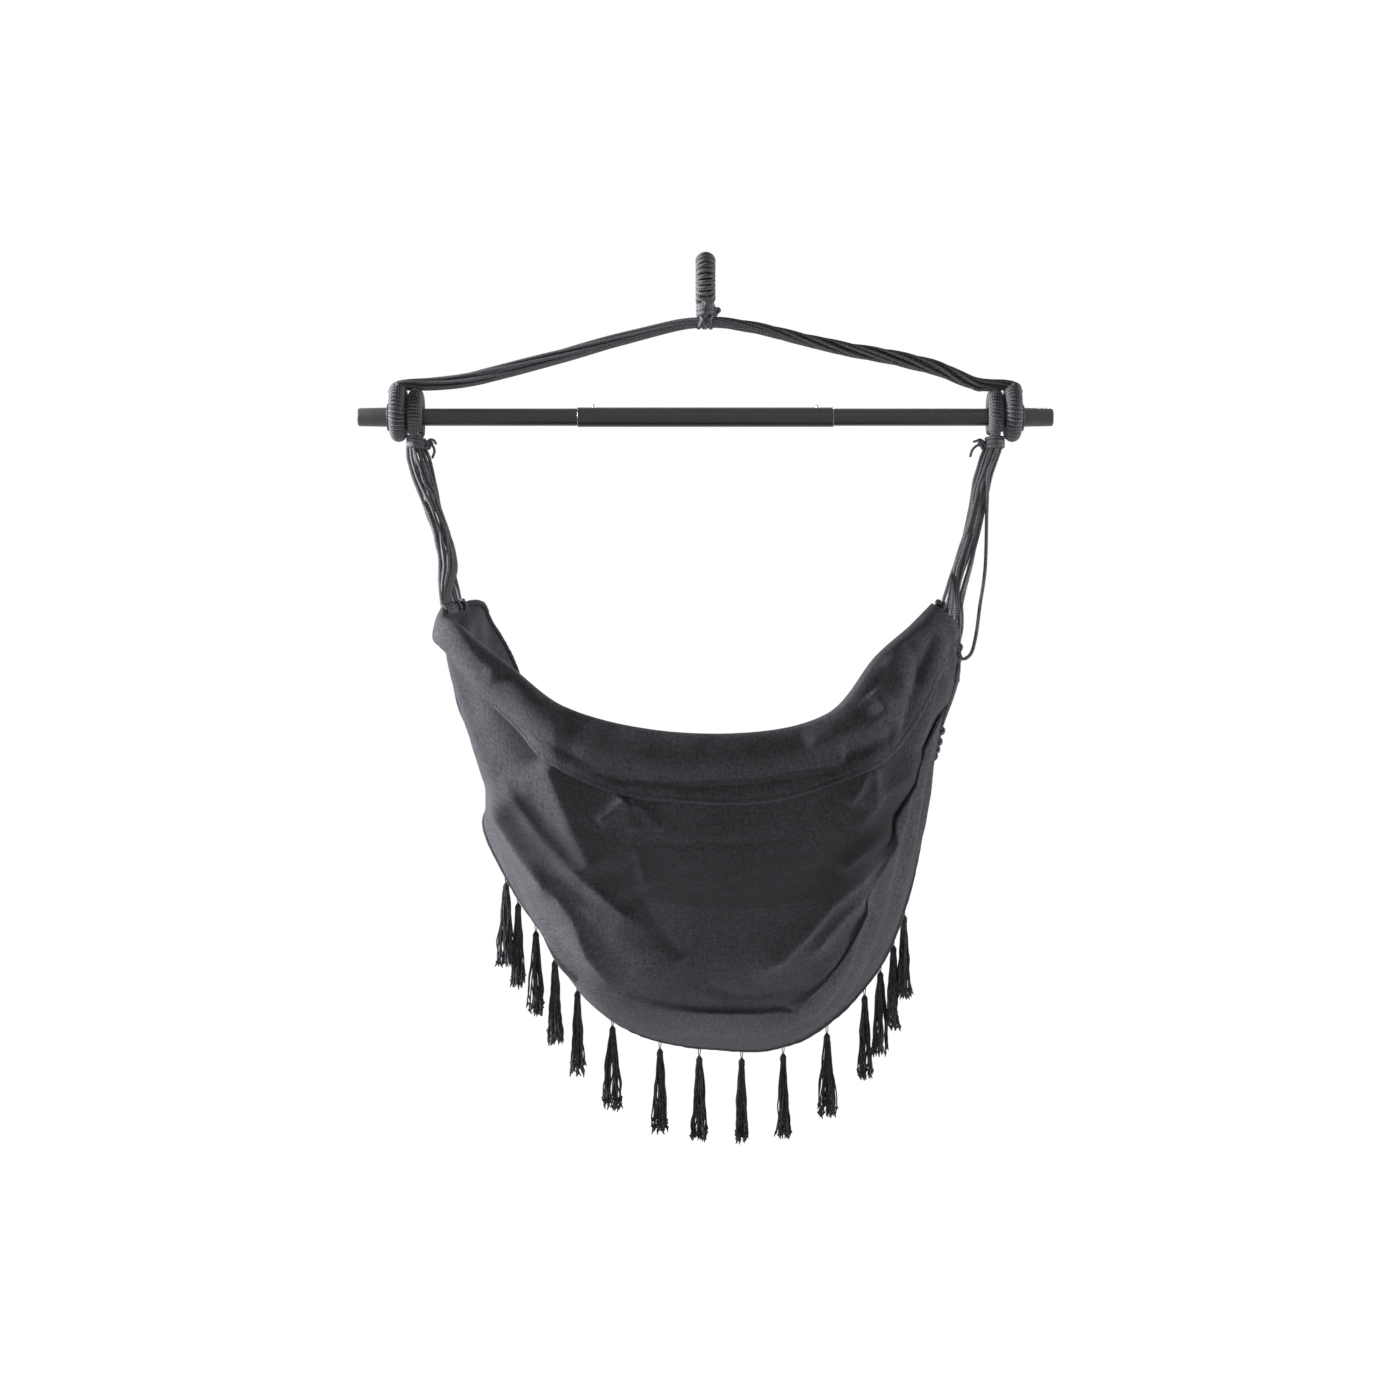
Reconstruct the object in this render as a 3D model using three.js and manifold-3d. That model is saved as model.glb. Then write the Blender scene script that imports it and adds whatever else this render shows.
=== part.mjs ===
// Hammock chair: a canvas sling with a tasselled front edge, hung by fans of cord from a
// three-piece spreader bar, which hangs by two rope bundles from a served loop.
// Millimetres, +Z up, +X along the spreader bar, +Y from the sitter's back to the knees.
// The origin is the crown of the hanging loop's hole, where a hook would bear.

import * as THREE from "three";
import { mergeVertices } from "three/addons/utils/BufferGeometryUtils.js";
import Module from "manifold-3d";

const wasm = await Module();
wasm.setup();

// Shared clearances.
const seatGap = 0.3; // between two pieces that touch
const wrapGap = 1.1; // between a round core and the mid-line of a faceted wrap
const layerGap = 0.5; // between two layers of canvas
const cutOverrunLength = 4; // how far a cutting body passes what it cuts
const mergeTolerance = 1e-4; // corners nearer than this are one corner
const parallelSlack = 1e-3; // length of a cross product that counts as none

// Ropes.
const cordDiameter = 5; // braided cord of the harness, the seat and the wraps
const cordRadius = cordDiameter / 2;
const ropeSides = 8;
const wrapSides = 5;
const wrapSteps = 8; // steps in one turn of a round wrap
const lashingSteps = 12; // steps in one turn of a flattened wrap

// Hanging loop.
const loopCoreDiameter = 12;
const loopHoleWidth = 38;
const loopHoleHeight = 42;
const loopLegSpacing = 16; // between the middles of the two legs in the throat
const loopThroatHeight = 27;
const legStraightShare = 0.7; // the straight part of each leg in the throat
const loopAngles = [125, 90, 60, 30].map(THREE.MathUtils.degToRad); // down from the crown
const loopSteps = 22;
const loopTurns = 14;
const servedShares = [0.2, 0.8]; // the served stretch of the loop's length
const loopLashingTurns = 2;
const neckLashingTurns = 3;
const lashingPitch = 5.8; // rise of one turn of a lashing

// Spreader bar.
const hookToBarDistance = 213; // from the loop's crown down to the middle of the bar
const barLength = 1000;
const middleTubeLength = 368;
const middleTubeDiameter = 28;
const outerTubeDiameter = 25;
const tubeWallThickness = 1.2;
const tubeOverlapLength = 55; // how far an outer tube runs into the middle tube
const tubeSides = 24;
const buttonInsetDistance = 23; // from the middle tube's end to the snap button
const buttonDiameter = 6;
const buttonHeight = 4.5; // what stands above the middle tube
const buttonDomeHeight = 1.2;
const buttonCollarDiameter = 9;
const buttonCollarHeight = 1.4;
const buttonHoleClearance = 0.3;
const springWidth = 6;
const springThickness = 0.6;
const springLength = 38;
const capLength = 44;
const capEndWallThickness = 3;
const capWallThickness = 1;
const capTaperWidth = 0.8;
const capEdgeWidth = 2;
const stopRingDiameter = 40;
const stopRingThickness = 2.5;

// Served eyes on the bar.
const eyeCoreDiameter = 12.4;
const harnessEyeHoleDiameter = 40; // hole diameter of the outermost eye
const seatEyeHoleDiameter = 32; // hole diameter of the eye that carries the seat
const eyeRingSegments = 16;
const eyeSpacing = 0.8; // clear space between neighbouring eyes and the stop ring
const eyeTurns = 13; // odd, so that a turn lies right where the bar bears
const eyeOpenAngle = Math.PI / 3; // bare stretch where a bundle meets the harness eye
const neckWidth = 17;
const neckDepth = 40;
const neckLength = 24;

// Harness bundles.
const bundleDiameter = 15.6;
const bundleCords = 6;
const cornersPerCord = 3;
const bundleGrooveDepth = 0.9; // depth between two neighbouring cords
const bundleWaveHeight = 2.5;
const bundleRuns = 5; // half waves from the loop to the outer eye
const bundleSteps = 16;
const eyeSwingGap = 1.5; // between a bundle and the seat eye that swings under it

// Canvas sling.
const slingWidth = 720;
const slingDepth = 440;
const slingHeight = 680;
const barToSlingDistance = 270; // from the bar's middle down to the sling's highest corner
const slingForwardDistance = 12.5; // the sling's shift towards the knees that balances the chair
const sheetThickness = 1.6;
const foldHeight = 14;
const foldCount = 4.5;
const foldDroopShare = 0.75; // how much lower a fold hangs in the middle
const foldFadeShare = 0.12; // where the folds die away at each edge
const slopeStepShare = 0.004; // how far apart two places are taken to find a slope
const sheetColumns = 20;
const sheetRows = 18;
const bandRows = 3; // rows of the sheet that the folded band covers
const panelFirstRow = 1;
const panelRows = 10; // last row of the sheet that the outer back panel covers
const panelSideColumns = 1;
const hemDiameter = 8;
const hemSides = 8;

// Places on the sling, from its left edge to its right edge in each row, and row by row
// from the top of the back over the bottom fold to the front edge. Each is a share of
// the sling's width, depth and height.
const slingShares = [
  [[-0.515, -0.17, 0.02], [-0.51, -0.205, 0.045], [-0.425, -0.26, 0.1],
    [-0.27, -0.34, 0.22], [0, -0.39, 0.275], [0.235, -0.34, 0.235],
    [0.335, -0.26, 0.115], [0.41, -0.205, 0.045], [0.455, -0.17, 0]],
  [[-0.455, -0.01, 0], [-0.505, -0.135, 0.095], [-0.43, -0.285, 0.275],
    [-0.28, -0.375, 0.37], [0, -0.42, 0.445], [0.25, -0.375, 0.405],
    [0.385, -0.275, 0.275], [0.48, -0.135, 0.135], [0.5, -0.045, 0.075]],
  [[-0.4, 0.135, 0.02], [-0.47, -0.09, 0.21], [-0.395, -0.26, 0.43],
    [-0.25, -0.365, 0.57], [0.005, -0.41, 0.655], [0.24, -0.365, 0.61],
    [0.365, -0.25, 0.45], [0.46, -0.07, 0.265], [0.5, 0.115, 0.16]],
  [[-0.38, 0.26, 0.16], [-0.445, 0, 0.32], [-0.35, -0.135, 0.62],
    [-0.205, -0.25, 0.805], [0.015, -0.305, 0.855], [0.215, -0.25, 0.82],
    [0.345, -0.125, 0.6], [0.44, 0.025, 0.36], [0.495, 0.24, 0.225]],
  [[-0.415, 0.4, 0.325], [-0.445, 0.25, 0.425], [-0.345, 0.17, 0.685],
    [-0.2, 0.135, 0.865], [0.015, 0.125, 0.92], [0.215, 0.135, 0.88],
    [0.35, 0.17, 0.735], [0.445, 0.25, 0.5], [0.48, 0.375, 0.3]],
  [[-0.445, 0.505, 0.43], [-0.465, 0.52, 0.475], [-0.35, 0.54, 0.715],
    [-0.18, 0.565, 0.93], [0.015, 0.575, 0.985], [0.21, 0.565, 0.96],
    [0.36, 0.54, 0.81], [0.44, 0.52, 0.585], [0.47, 0.505, 0.355]],
];

// Seat cords.
const cordPairs = 6; // doubled cords on each side
const cordPairSpacing = 5.8;
const cordBendRadius = 3.3;
const cordLegSteps = 4; // at least
const cordStepLength = 80; // at most
const cordBendAngles = [45, 90, 135].map(THREE.MathUtils.degToRad);
// Where the two legs of each doubled cord end, as shares along the sling's side edge.
const leftCordShares = [
  [0.02, 0.055], [0.09, 0.125], [0.16, 0.195], [0.23, 0.265], [0.3, 0.36], [0.95, 0.9],
];
const rightCordShares = [
  [0.02, 0.055], [0.1, 0.145], [0.2, 0.255], [0.32, 0.42], [0.76, 0.83], [0.89, 0.95],
];

// Fringe.
const tasselLength = 144;
const tasselSides = 7;
const tasselRadius = 8;
const hemSamples = 300; // places along the hem that seat the tassels
const reachHalvings = 12;
// Where each tassel hangs, as shares of the front hem's length.
const tasselShares = [
  0.104, 0.135, 0.178, 0.223, 0.273, 0.338, 0.407, 0.459,
  0.514, 0.568, 0.631, 0.701, 0.738, 0.776, 0.818,
];
// Outline of a tassel, from its string over the knot to the cut ends: shares of its
// greatest radius and of its length.
const stringShare = 0.22;
const knotShare = 0.6;
const tasselOutlineShares = [
  [0, 0], [stringShare, 0], [stringShare, 0.07], [knotShare, 0.1], [knotShare, 0.145],
  [0.4, 0.19], [1, 0.93], [0.6, 1], [0, 1],
];

// Loose ends.
const tieTailLength = 22;
const tailSteps = 6;
const slackCordBowWidth = 20; // how far the slack cord bows out past its end
const slackEndShare = 0.16; // where it ends, along the right side hem

// Finishes.
const ropeFinish = { color: "#55555a", roughness: 0.9, metalness: 0 };
const wrapFinish = { color: "#4a4a4f", roughness: 0.9, metalness: 0 };
const canvasFinish = { color: "#3f3f43", roughness: 0.95, metalness: 0 };
const hemFinish = { color: "#48484c", roughness: 0.95, metalness: 0 };
const yarnFinish = { color: "#303033", roughness: 1, metalness: 0 };
const paintFinish = { color: "#2e2c2d", roughness: 0.4, metalness: 0.6 };
const capFinish = { color: "#4b4b4e", roughness: 0.6, metalness: 0 };
const steelFinish = { color: "#b9bcc0", roughness: 0.3, metalness: 1 };

// Sizes derived from those above.
const wrapReach = wrapGap + cordDiameter; // a wrap's thickness over its core
const loopServedRadius = loopCoreDiameter / 2 + wrapReach;
const eyeServedRadius = eyeCoreDiameter / 2 + wrapReach;
const capMiddle = barLength / 2 - capLength;
const harnessEyeX = capMiddle - stopRingThickness / 2 - eyeSpacing - eyeServedRadius;
const seatEyeX = harnessEyeX - 2 * eyeServedRadius - eyeSpacing;
const harnessEyeZ = harnessEyeHoleDiameter / 2 - outerTubeDiameter / 2 - seatGap;
const seatEyeZ = outerTubeDiameter / 2 + seatGap - seatEyeHoleDiameter / 2;
const seatEyeTop = seatEyeZ + seatEyeHoleDiameter / 2 + 2 * eyeServedRadius;
const neckTop = seatEyeZ - seatEyeHoleDiameter / 2 - eyeServedRadius;
const neckBottom = neckTop - eyeCoreDiameter / 2 - neckLength;
const loopBottom = -(loopHoleHeight + loopThroatHeight);
const bundleStartZ = loopBottom - seatGap - bundleDiameter / 2;
const tubeEnd = barLength / 2 - capEndWallThickness - seatGap;
const middleHalf = middleTubeLength / 2;
const buttonX = middleHalf - buttonInsetDistance;
const outerTubeInside = outerTubeDiameter / 2 - tubeWallThickness;
// The collar sits as high inside the round tube as its own width lets it.
const collarTop = Math.sqrt(
  (outerTubeInside - seatGap) ** 2 - (buttonCollarDiameter / 2) ** 2,
) - seatGap;
const collarBottom = collarTop - buttonCollarHeight;

const xAxis = new THREE.Vector3(1, 0, 0);
const up = new THREE.Vector3(0, 0, 1);
const down = new THREE.Vector3(0, 0, -1);

/** A route whose steps are shared out evenly among its points, not by length. */
class RopeRoute extends THREE.CatmullRomCurve3 {
  getPointAt(share, target) {
    return this.getPoint(share, target);
  }

  getTangentAt(share, target) {
    return this.getTangent(share, target);
  }
}

/** Signed volume of an indexed geometry: positive when its faces point out. */
function signedVolume(geometry) {
  const place = geometry.attributes.position;
  const index = geometry.index.array;
  const corner = [new THREE.Vector3(), new THREE.Vector3(), new THREE.Vector3()];
  let sum = 0;
  for (let start = 0; start < index.length; start += 3) {
    corner.forEach((vector, turn) => vector.fromBufferAttribute(place, index[start + turn]));
    sum += corner[0].dot(corner[1].clone().cross(corner[2]));
  }
  return sum;
}

/** The geometry as one closed skin with shared corners and its faces pointing out. */
function closedSkin(source) {
  const bare = source.clone();
  bare.deleteAttribute("normal");
  bare.deleteAttribute("uv");
  const skin = mergeVertices(bare, mergeTolerance);
  if (signedVolume(skin) < 0) {
    const index = skin.index.array;
    for (let start = 0; start < index.length; start += 3) {
      [index[start], index[start + 1]] = [index[start + 1], index[start]];
    }
  }
  return skin;
}

function solidOf(source) {
  const skin = closedSkin(source);
  return new wasm.Manifold(new wasm.Mesh({
    numProp: 3,
    vertProperties: new Float32Array(skin.attributes.position.array),
    triVerts: new Uint32Array(skin.index.array),
  }));
}

function geometryOf(solid) {
  const mesh = solid.getMesh();
  const geometry = new THREE.BufferGeometry();
  geometry.setAttribute("position", new THREE.BufferAttribute(mesh.vertProperties, 3));
  geometry.setIndex(new THREE.BufferAttribute(mesh.triVerts, 1));
  return geometry;
}

/** Adds one named piece with its own material. */
function addPiece(parent, name, source, finish) {
  const skin = closedSkin(source);
  skin.computeVertexNormals();
  const mesh = new THREE.Mesh(skin, new THREE.MeshStandardMaterial(finish));
  mesh.name = name;
  parent.add(mesh);
  return mesh;
}

/** A section of equal sides round a circle. */
function roundSection(radius, sides) {
  const outline = [];
  for (let side = 0; side < sides; side += 1) {
    const angle = (2 * Math.PI * side) / sides;
    outline.push(new THREE.Vector2(radius * Math.cos(angle), radius * Math.sin(angle)));
  }
  return new THREE.Shape(outline);
}

/** A round rope along a route of points. */
function rope(points, radius, sides, steps) {
  return new THREE.ExtrudeGeometry(roundSection(radius, sides), {
    steps,
    extrudePath: new RopeRoute(points),
    bevelEnabled: false,
  });
}

/** Least clear space between turns of a wound cord, from the points of its mid-line. */
function leastSelfGap(points, stepsPerTurn, diameter) {
  let least = Infinity;
  for (let first = 0; first < points.length; first += 1) {
    for (let other = first + Math.ceil(stepsPerTurn / 2); other < points.length; other += 1) {
      least = Math.min(least, points[first].distanceTo(points[other]));
    }
  }
  return least - diameter;
}

/** One unbroken tube through the points, with flat ends. */
function woundTube(points, radius, sides) {
  const corners = [];
  const faces = [];
  const count = points.length;
  let side = null;
  for (let step = 0; step < count; step += 1) {
    const before = points[Math.max(step - 1, 0)];
    const after = points[Math.min(step + 1, count - 1)];
    const along = after.clone().sub(before).normalize();
    if (side === null) {
      side = new THREE.Vector3().crossVectors(along, up);
      if (side.length() < parallelSlack) {
        side = new THREE.Vector3().crossVectors(along, xAxis);
      }
    }
    side.addScaledVector(along, -side.dot(along)).normalize();
    const rise = new THREE.Vector3().crossVectors(along, side);
    for (let turn = 0; turn < sides; turn += 1) {
      const angle = (2 * Math.PI * turn) / sides;
      const corner = points[step].clone();
      corner.addScaledVector(side, radius * Math.cos(angle));
      corner.addScaledVector(rise, radius * Math.sin(angle));
      corners.push(corner.x, corner.y, corner.z);
    }
  }
  for (let step = 0; step < count - 1; step += 1) {
    for (let turn = 0; turn < sides; turn += 1) {
      const next = (turn + 1) % sides;
      const here = step * sides;
      const there = here + sides;
      faces.push(here + turn, here + next, there + next);
      faces.push(here + turn, there + next, there + turn);
    }
  }
  for (let turn = 1; turn < sides - 1; turn += 1) {
    const last = (count - 1) * sides;
    faces.push(0, turn + 1, turn);
    faces.push(last, last + turn, last + turn + 1);
  }
  const geometry = new THREE.BufferGeometry();
  geometry.setAttribute("position", new THREE.Float32BufferAttribute(corners, 3));
  geometry.setIndex(faces);
  return geometry;
}

/** Wraps a cord round a core. place(share) gives the core's middle, and two square
 *  directions across it, each with the distance from the middle to the cord's middle. */
function wrap(name, place, turns, stepsPerTurn) {
  const points = [];
  const steps = turns * stepsPerTurn;
  for (let step = 0; step <= steps; step += 1) {
    const angle = (2 * Math.PI * step) / stepsPerTurn;
    const { middle, across, beside, reachAcross, reachBeside } = place(step / steps);
    const point = middle.clone();
    point.addScaledVector(across, reachAcross * Math.cos(angle));
    point.addScaledVector(beside, reachBeside * Math.sin(angle));
    points.push(point);
  }
  const first = points[0].clone().sub(points[1]).normalize();
  const last = points[steps].clone().sub(points[steps - 1]).normalize();
  points.unshift(points[0].clone().addScaledVector(first, cordDiameter));
  points.push(points[steps + 1].clone().addScaledVector(last, cordDiameter));
  const gap = leastSelfGap(points, stepsPerTurn, cordDiameter);
  console.log(`${name}: ${turns} turns, least gap to itself ${gap.toFixed(2)} mm`);
  return woundTube(points, cordRadius, wrapSides);
}

/** Height of a lashing's cord over the bottom of what it ties. */
function lashingRise(turns, share) {
  return cordRadius + seatGap + turns * lashingPitch * share;
}

// Hanging loop.

/** The mid-line of the hanging loop, from one leg's end over the crown to the other. */
function loopMidline() {
  const halfLeg = loopLegSpacing / 2;
  const wide = loopHoleWidth / 2 + loopServedRadius;
  const crown = loopServedRadius;
  const half = [
    [halfLeg, loopBottom],
    [halfLeg, loopBottom + loopThroatHeight * legStraightShare],
  ];
  for (const angle of loopAngles) {
    half.push([wide * Math.sin(angle), crown - wide + wide * Math.cos(angle)]);
  }
  const places = half.map(([across, height]) => new THREE.Vector3(0, -across, height));
  places.push(new THREE.Vector3(0, 0, crown));
  for (const [across, height] of half.slice().reverse()) {
    places.push(new THREE.Vector3(0, across, height));
  }
  return new THREE.CatmullRomCurve3(places);
}

function addHangingLoop(parent) {
  const midline = loopMidline();
  const core = new THREE.ExtrudeGeometry(roundSection(loopCoreDiameter / 2, ropeSides), {
    steps: loopSteps,
    extrudePath: midline,
    bevelEnabled: false,
  });
  addPiece(parent, "hanging_loop_core", core, ropeFinish);
  const reach = loopCoreDiameter / 2 + wrapGap + cordRadius;
  const place = (share) => {
    const along = THREE.MathUtils.lerp(servedShares[0], servedShares[1], share);
    const middle = midline.getPointAt(along);
    const across = new THREE.Vector3().crossVectors(xAxis, midline.getTangentAt(along));
    return { middle, across, beside: xAxis, reachAcross: reach, reachBeside: reach };
  };
  const serving = wrap("hanging_loop_serving", place, loopTurns, wrapSteps);
  addPiece(parent, "hanging_loop_serving", serving, wrapFinish);
  const throat = (share) => ({
    middle: new THREE.Vector3(0, 0, loopBottom + lashingRise(loopLashingTurns, share)),
    across: new THREE.Vector3(0, 1, 0),
    beside: xAxis,
    reachAcross: reach + loopLegSpacing / 2 + wrapGap,
    reachBeside: reach + wrapGap,
  });
  const lashing = wrap("hanging_loop_lashing", throat, loopLashingTurns, lashingSteps);
  addPiece(parent, "hanging_loop_lashing", lashing, wrapFinish);
}

// Served eyes.

function eyeRing(x, z, hole) {
  const ring = new THREE.TorusGeometry(
    hole / 2 + eyeServedRadius, eyeCoreDiameter / 2, ropeSides, eyeRingSegments,
  );
  ring.rotateY(Math.PI / 2);
  ring.translate(x, 0, z);
  return ring;
}

/** Wraps an eye, all but a bare stretch centred on the direction of openAt. */
function eyeServing(name, x, z, hole, openAt, openAngle) {
  const radius = hole / 2 + eyeServedRadius;
  const reach = eyeCoreDiameter / 2 + wrapGap + cordRadius;
  const start = openAt + openAngle / 2;
  const sweep = 2 * Math.PI - openAngle;
  const place = (share) => {
    const angle = start + sweep * share;
    const across = new THREE.Vector3(0, Math.cos(angle), Math.sin(angle));
    const middle = new THREE.Vector3(x, 0, z).addScaledVector(across, radius);
    return { middle, across, beside: xAxis, reachAcross: reach, reachBeside: reach };
  };
  return wrap(name, place, eyeTurns, wrapSteps);
}

function addHarnessEye(parent, side, label) {
  const x = side * harnessEyeX;
  const ring = eyeRing(x, harnessEyeZ, harnessEyeHoleDiameter);
  addPiece(parent, `${label}_harness_eye_core`, ring, ropeFinish);
  const name = `${label}_harness_eye_serving`;
  const serving = eyeServing(
    name, x, harnessEyeZ, harnessEyeHoleDiameter, Math.PI / 2, eyeOpenAngle,
  );
  addPiece(parent, name, serving, wrapFinish);
}

function addSeatEye(parent, side, label) {
  const x = side * seatEyeX;
  const ring = solidOf(eyeRing(x, seatEyeZ, seatEyeHoleDiameter));
  const neck = new THREE.CylinderGeometry(
    neckWidth / 2, neckWidth / 2, neckTop - neckBottom, 2 * ropeSides,
  );
  neck.rotateX(Math.PI / 2);
  neck.scale(1, neckDepth / neckWidth, 1);
  neck.translate(x, 0, (neckTop + neckBottom) / 2);
  addPiece(parent, `${label}_seat_eye_core`, geometryOf(ring.add(solidOf(neck))), ropeFinish);
  const name = `${label}_seat_eye_serving`;
  // The bare stretch is as wide as the neck, with a cord's width on either side.
  const halfOpen = Math.asin(
    (neckDepth / 2 + cordDiameter) / (seatEyeHoleDiameter / 2 + eyeServedRadius + cordRadius),
  );
  const serving = eyeServing(
    name, x, seatEyeZ, seatEyeHoleDiameter, -Math.PI / 2, 2 * halfOpen,
  );
  addPiece(parent, name, serving, wrapFinish);
  const place = (share) => ({
    middle: new THREE.Vector3(x, 0, neckBottom + lashingRise(neckLashingTurns, share)),
    across: new THREE.Vector3(0, 1, 0),
    beside: xAxis,
    reachAcross: neckDepth / 2 + wrapGap + cordRadius,
    reachBeside: neckWidth / 2 + wrapGap + cordRadius,
  });
  const lashingName = `${label}_seat_eye_lashing`;
  const lashing = wrap(lashingName, place, neckLashingTurns, lashingSteps);
  addPiece(parent, lashingName, lashing, wrapFinish);
}

// Harness bundles.

/** The outline of cords laid side by side round a middle, as one section. */
function bundleSection() {
  const outline = [];
  const count = bundleCords * cornersPerCord;
  for (let corner = 0; corner < count; corner += 1) {
    const angle = (2 * Math.PI * corner) / count;
    const dip = Math.abs(Math.cos((bundleCords * angle) / 2));
    const radius = bundleDiameter / 2 - bundleGrooveDepth * (1 - dip);
    outline.push(new THREE.Vector2(radius * Math.cos(angle), radius * Math.sin(angle)));
  }
  return new THREE.Shape(outline);
}

function addHarnessBundle(parent, side, label) {
  const endX = harnessEyeX - eyeCoreDiameter / 2 - seatGap;
  const clearZ = seatEyeTop + eyeSwingGap + bundleDiameter / 2 - hookToBarDistance;
  const level = seatEyeX - eyeServedRadius;
  const points = [new THREE.Vector3(side * seatGap, 0, bundleStartZ)];
  points.push(new THREE.Vector3(side * bundleDiameter, 0, bundleStartZ));
  for (let run = 1; run < bundleRuns; run += 1) {
    const share = run / bundleRuns;
    const wave = bundleWaveHeight * Math.sin(Math.PI * (run + (side > 0 ? 1 : 0)));
    const sway = bundleWaveHeight * Math.cos(Math.PI * run);
    const x = THREE.MathUtils.lerp(bundleDiameter, level, share);
    const z = THREE.MathUtils.lerp(bundleStartZ, clearZ, share);
    points.push(new THREE.Vector3(side * x, sway, z + wave));
  }
  points.push(new THREE.Vector3(side * level, 0, clearZ));
  points.push(new THREE.Vector3(side * endX, 0, clearZ));
  const bundle = new THREE.ExtrudeGeometry(bundleSection(), {
    steps: bundleSteps,
    extrudePath: new RopeRoute(points),
    bevelEnabled: false,
  });
  addPiece(parent, `${label}_harness_bundle`, bundle, ropeFinish);
}

// Spreader bar.

/** A tube along X from one place to another. */
function tube(fromX, toX, diameter) {
  const outer = diameter / 2;
  const inner = outer - tubeWallThickness;
  const length = toX - fromX;
  const outline = [[inner, 0], [outer, 0], [outer, length], [inner, length], [inner, 0]];
  const points = outline.map(([radius, along]) => new THREE.Vector2(radius, along));
  const geometry = new THREE.LatheGeometry(points, tubeSides);
  geometry.rotateZ(-Math.PI / 2);
  geometry.translate(fromX, 0, 0);
  return geometry;
}

/** A body that cuts a snap button's hole through the top wall of a tube. */
function buttonCut(x) {
  const radius = buttonDiameter / 2 + buttonHoleClearance;
  const cut = new THREE.CylinderGeometry(radius, radius, middleTubeDiameter / 2 + cutOverrunLength);
  cut.rotateX(Math.PI / 2);
  cut.translate(x, 0, (middleTubeDiameter / 2 + cutOverrunLength) / 2);
  return solidOf(cut);
}

function addBar(parent) {
  let middle = solidOf(tube(-middleHalf, middleHalf, middleTubeDiameter));
  for (const side of [-1, 1]) {
    middle = middle.subtract(buttonCut(side * buttonX));
  }
  addPiece(parent, "middle_tube", geometryOf(middle), paintFinish);
  for (const [side, label] of [[-1, "left"], [1, "right"]]) {
    const near = side * (middleHalf - tubeOverlapLength);
    const far = side * tubeEnd;
    const plain = tube(Math.min(near, far), Math.max(near, far), outerTubeDiameter);
    const outer = solidOf(plain).subtract(buttonCut(side * buttonX));
    addPiece(parent, `${label}_outer_tube`, geometryOf(outer), paintFinish);
    addPiece(parent, `${label}_end_cap`, endCap(side), capFinish);
    addPiece(parent, `${label}_snap_button`, snapButton(side), steelFinish);
    addPiece(parent, `${label}_button_spring`, buttonSpring(side), steelFinish);
  }
}

/** A cap pressed over the tube's end, with a ring that stops the eyes. */
function endCap(side) {
  const bore = outerTubeDiameter / 2 + seatGap;
  const body = bore + capWallThickness;
  const mouth = -stopRingThickness / 2;
  const outline = [
    [0, capLength - capEndWallThickness],
    [bore, capLength - capEndWallThickness],
    [bore, mouth],
    [stopRingDiameter / 2, mouth],
    [stopRingDiameter / 2, mouth + stopRingThickness],
    [body, mouth + stopRingThickness],
    [body - capTaperWidth, capLength - capEdgeWidth],
    [body - capTaperWidth - capEdgeWidth, capLength],
    [0, capLength],
  ];
  const points = outline.map(([radius, along]) => new THREE.Vector2(radius, along));
  const cap = new THREE.LatheGeometry(points, tubeSides);
  cap.rotateZ(-side * Math.PI / 2);
  cap.translate(side * capMiddle, 0, 0);
  return cap;
}

function snapButton(side) {
  const pin = buttonDiameter / 2;
  const top = middleTubeDiameter / 2 + buttonHeight;
  const outline = [
    [0, collarBottom],
    [buttonCollarDiameter / 2, collarBottom],
    [buttonCollarDiameter / 2, collarTop],
    [pin, collarTop],
    [pin, top - buttonDomeHeight],
    [pin - buttonDomeHeight / 2, top - buttonDomeHeight / 4],
    [0, top],
  ];
  const points = outline.map(([radius, along]) => new THREE.Vector2(radius, along));
  const button = new THREE.LatheGeometry(points, 2 * ropeSides);
  button.rotateX(Math.PI / 2);
  button.translate(side * buttonX, 0, 0);
  return button;
}

/** A leaf spring bent to a V, lying in the outer tube with its upper leg under the
 *  button and its lower leg on the tube's floor. */
function buttonSpring(side) {
  const floor = -Math.sqrt((outerTubeInside - seatGap) ** 2 - (springWidth / 2) ** 2) + seatGap;
  const top = collarBottom - seatGap;
  const bend = springLength;
  const lead = buttonCollarDiameter / 2;
  const outline = [
    [-lead, top],
    [lead, top],
    [bend, springThickness],
    [bend + springThickness, 0],
    [bend, -springThickness],
    [lead, floor],
    [-lead, floor],
    [-lead, floor + springThickness],
    [lead, floor + springThickness],
    [bend - 2 * springThickness, 0],
    [lead, top - springThickness],
    [-lead, top - springThickness],
  ];
  const shape = new THREE.Shape(outline.map(([x, z]) => new THREE.Vector2(side * x, z)));
  const spring = new THREE.ExtrudeGeometry(shape, { depth: springWidth, bevelEnabled: false });
  spring.rotateX(Math.PI / 2);
  spring.translate(side * buttonX, springWidth / 2, 0);
  return spring;
}

// Canvas sling.

const slingRows = slingShares.map((row) => new THREE.CatmullRomCurve3(
  row.map(([across, along, fall]) => new THREE.Vector3(
    across * slingWidth,
    along * slingDepth + slingForwardDistance,
    -barToSlingDistance - fall * slingHeight,
  )),
));

/** A place on the smooth sling, column share across and row share from back to front. */
function slingPlace(column, row) {
  const line = new THREE.CatmullRomCurve3(slingRows.map((curve) => curve.getPoint(column)));
  return line.getPoint(row);
}

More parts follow.
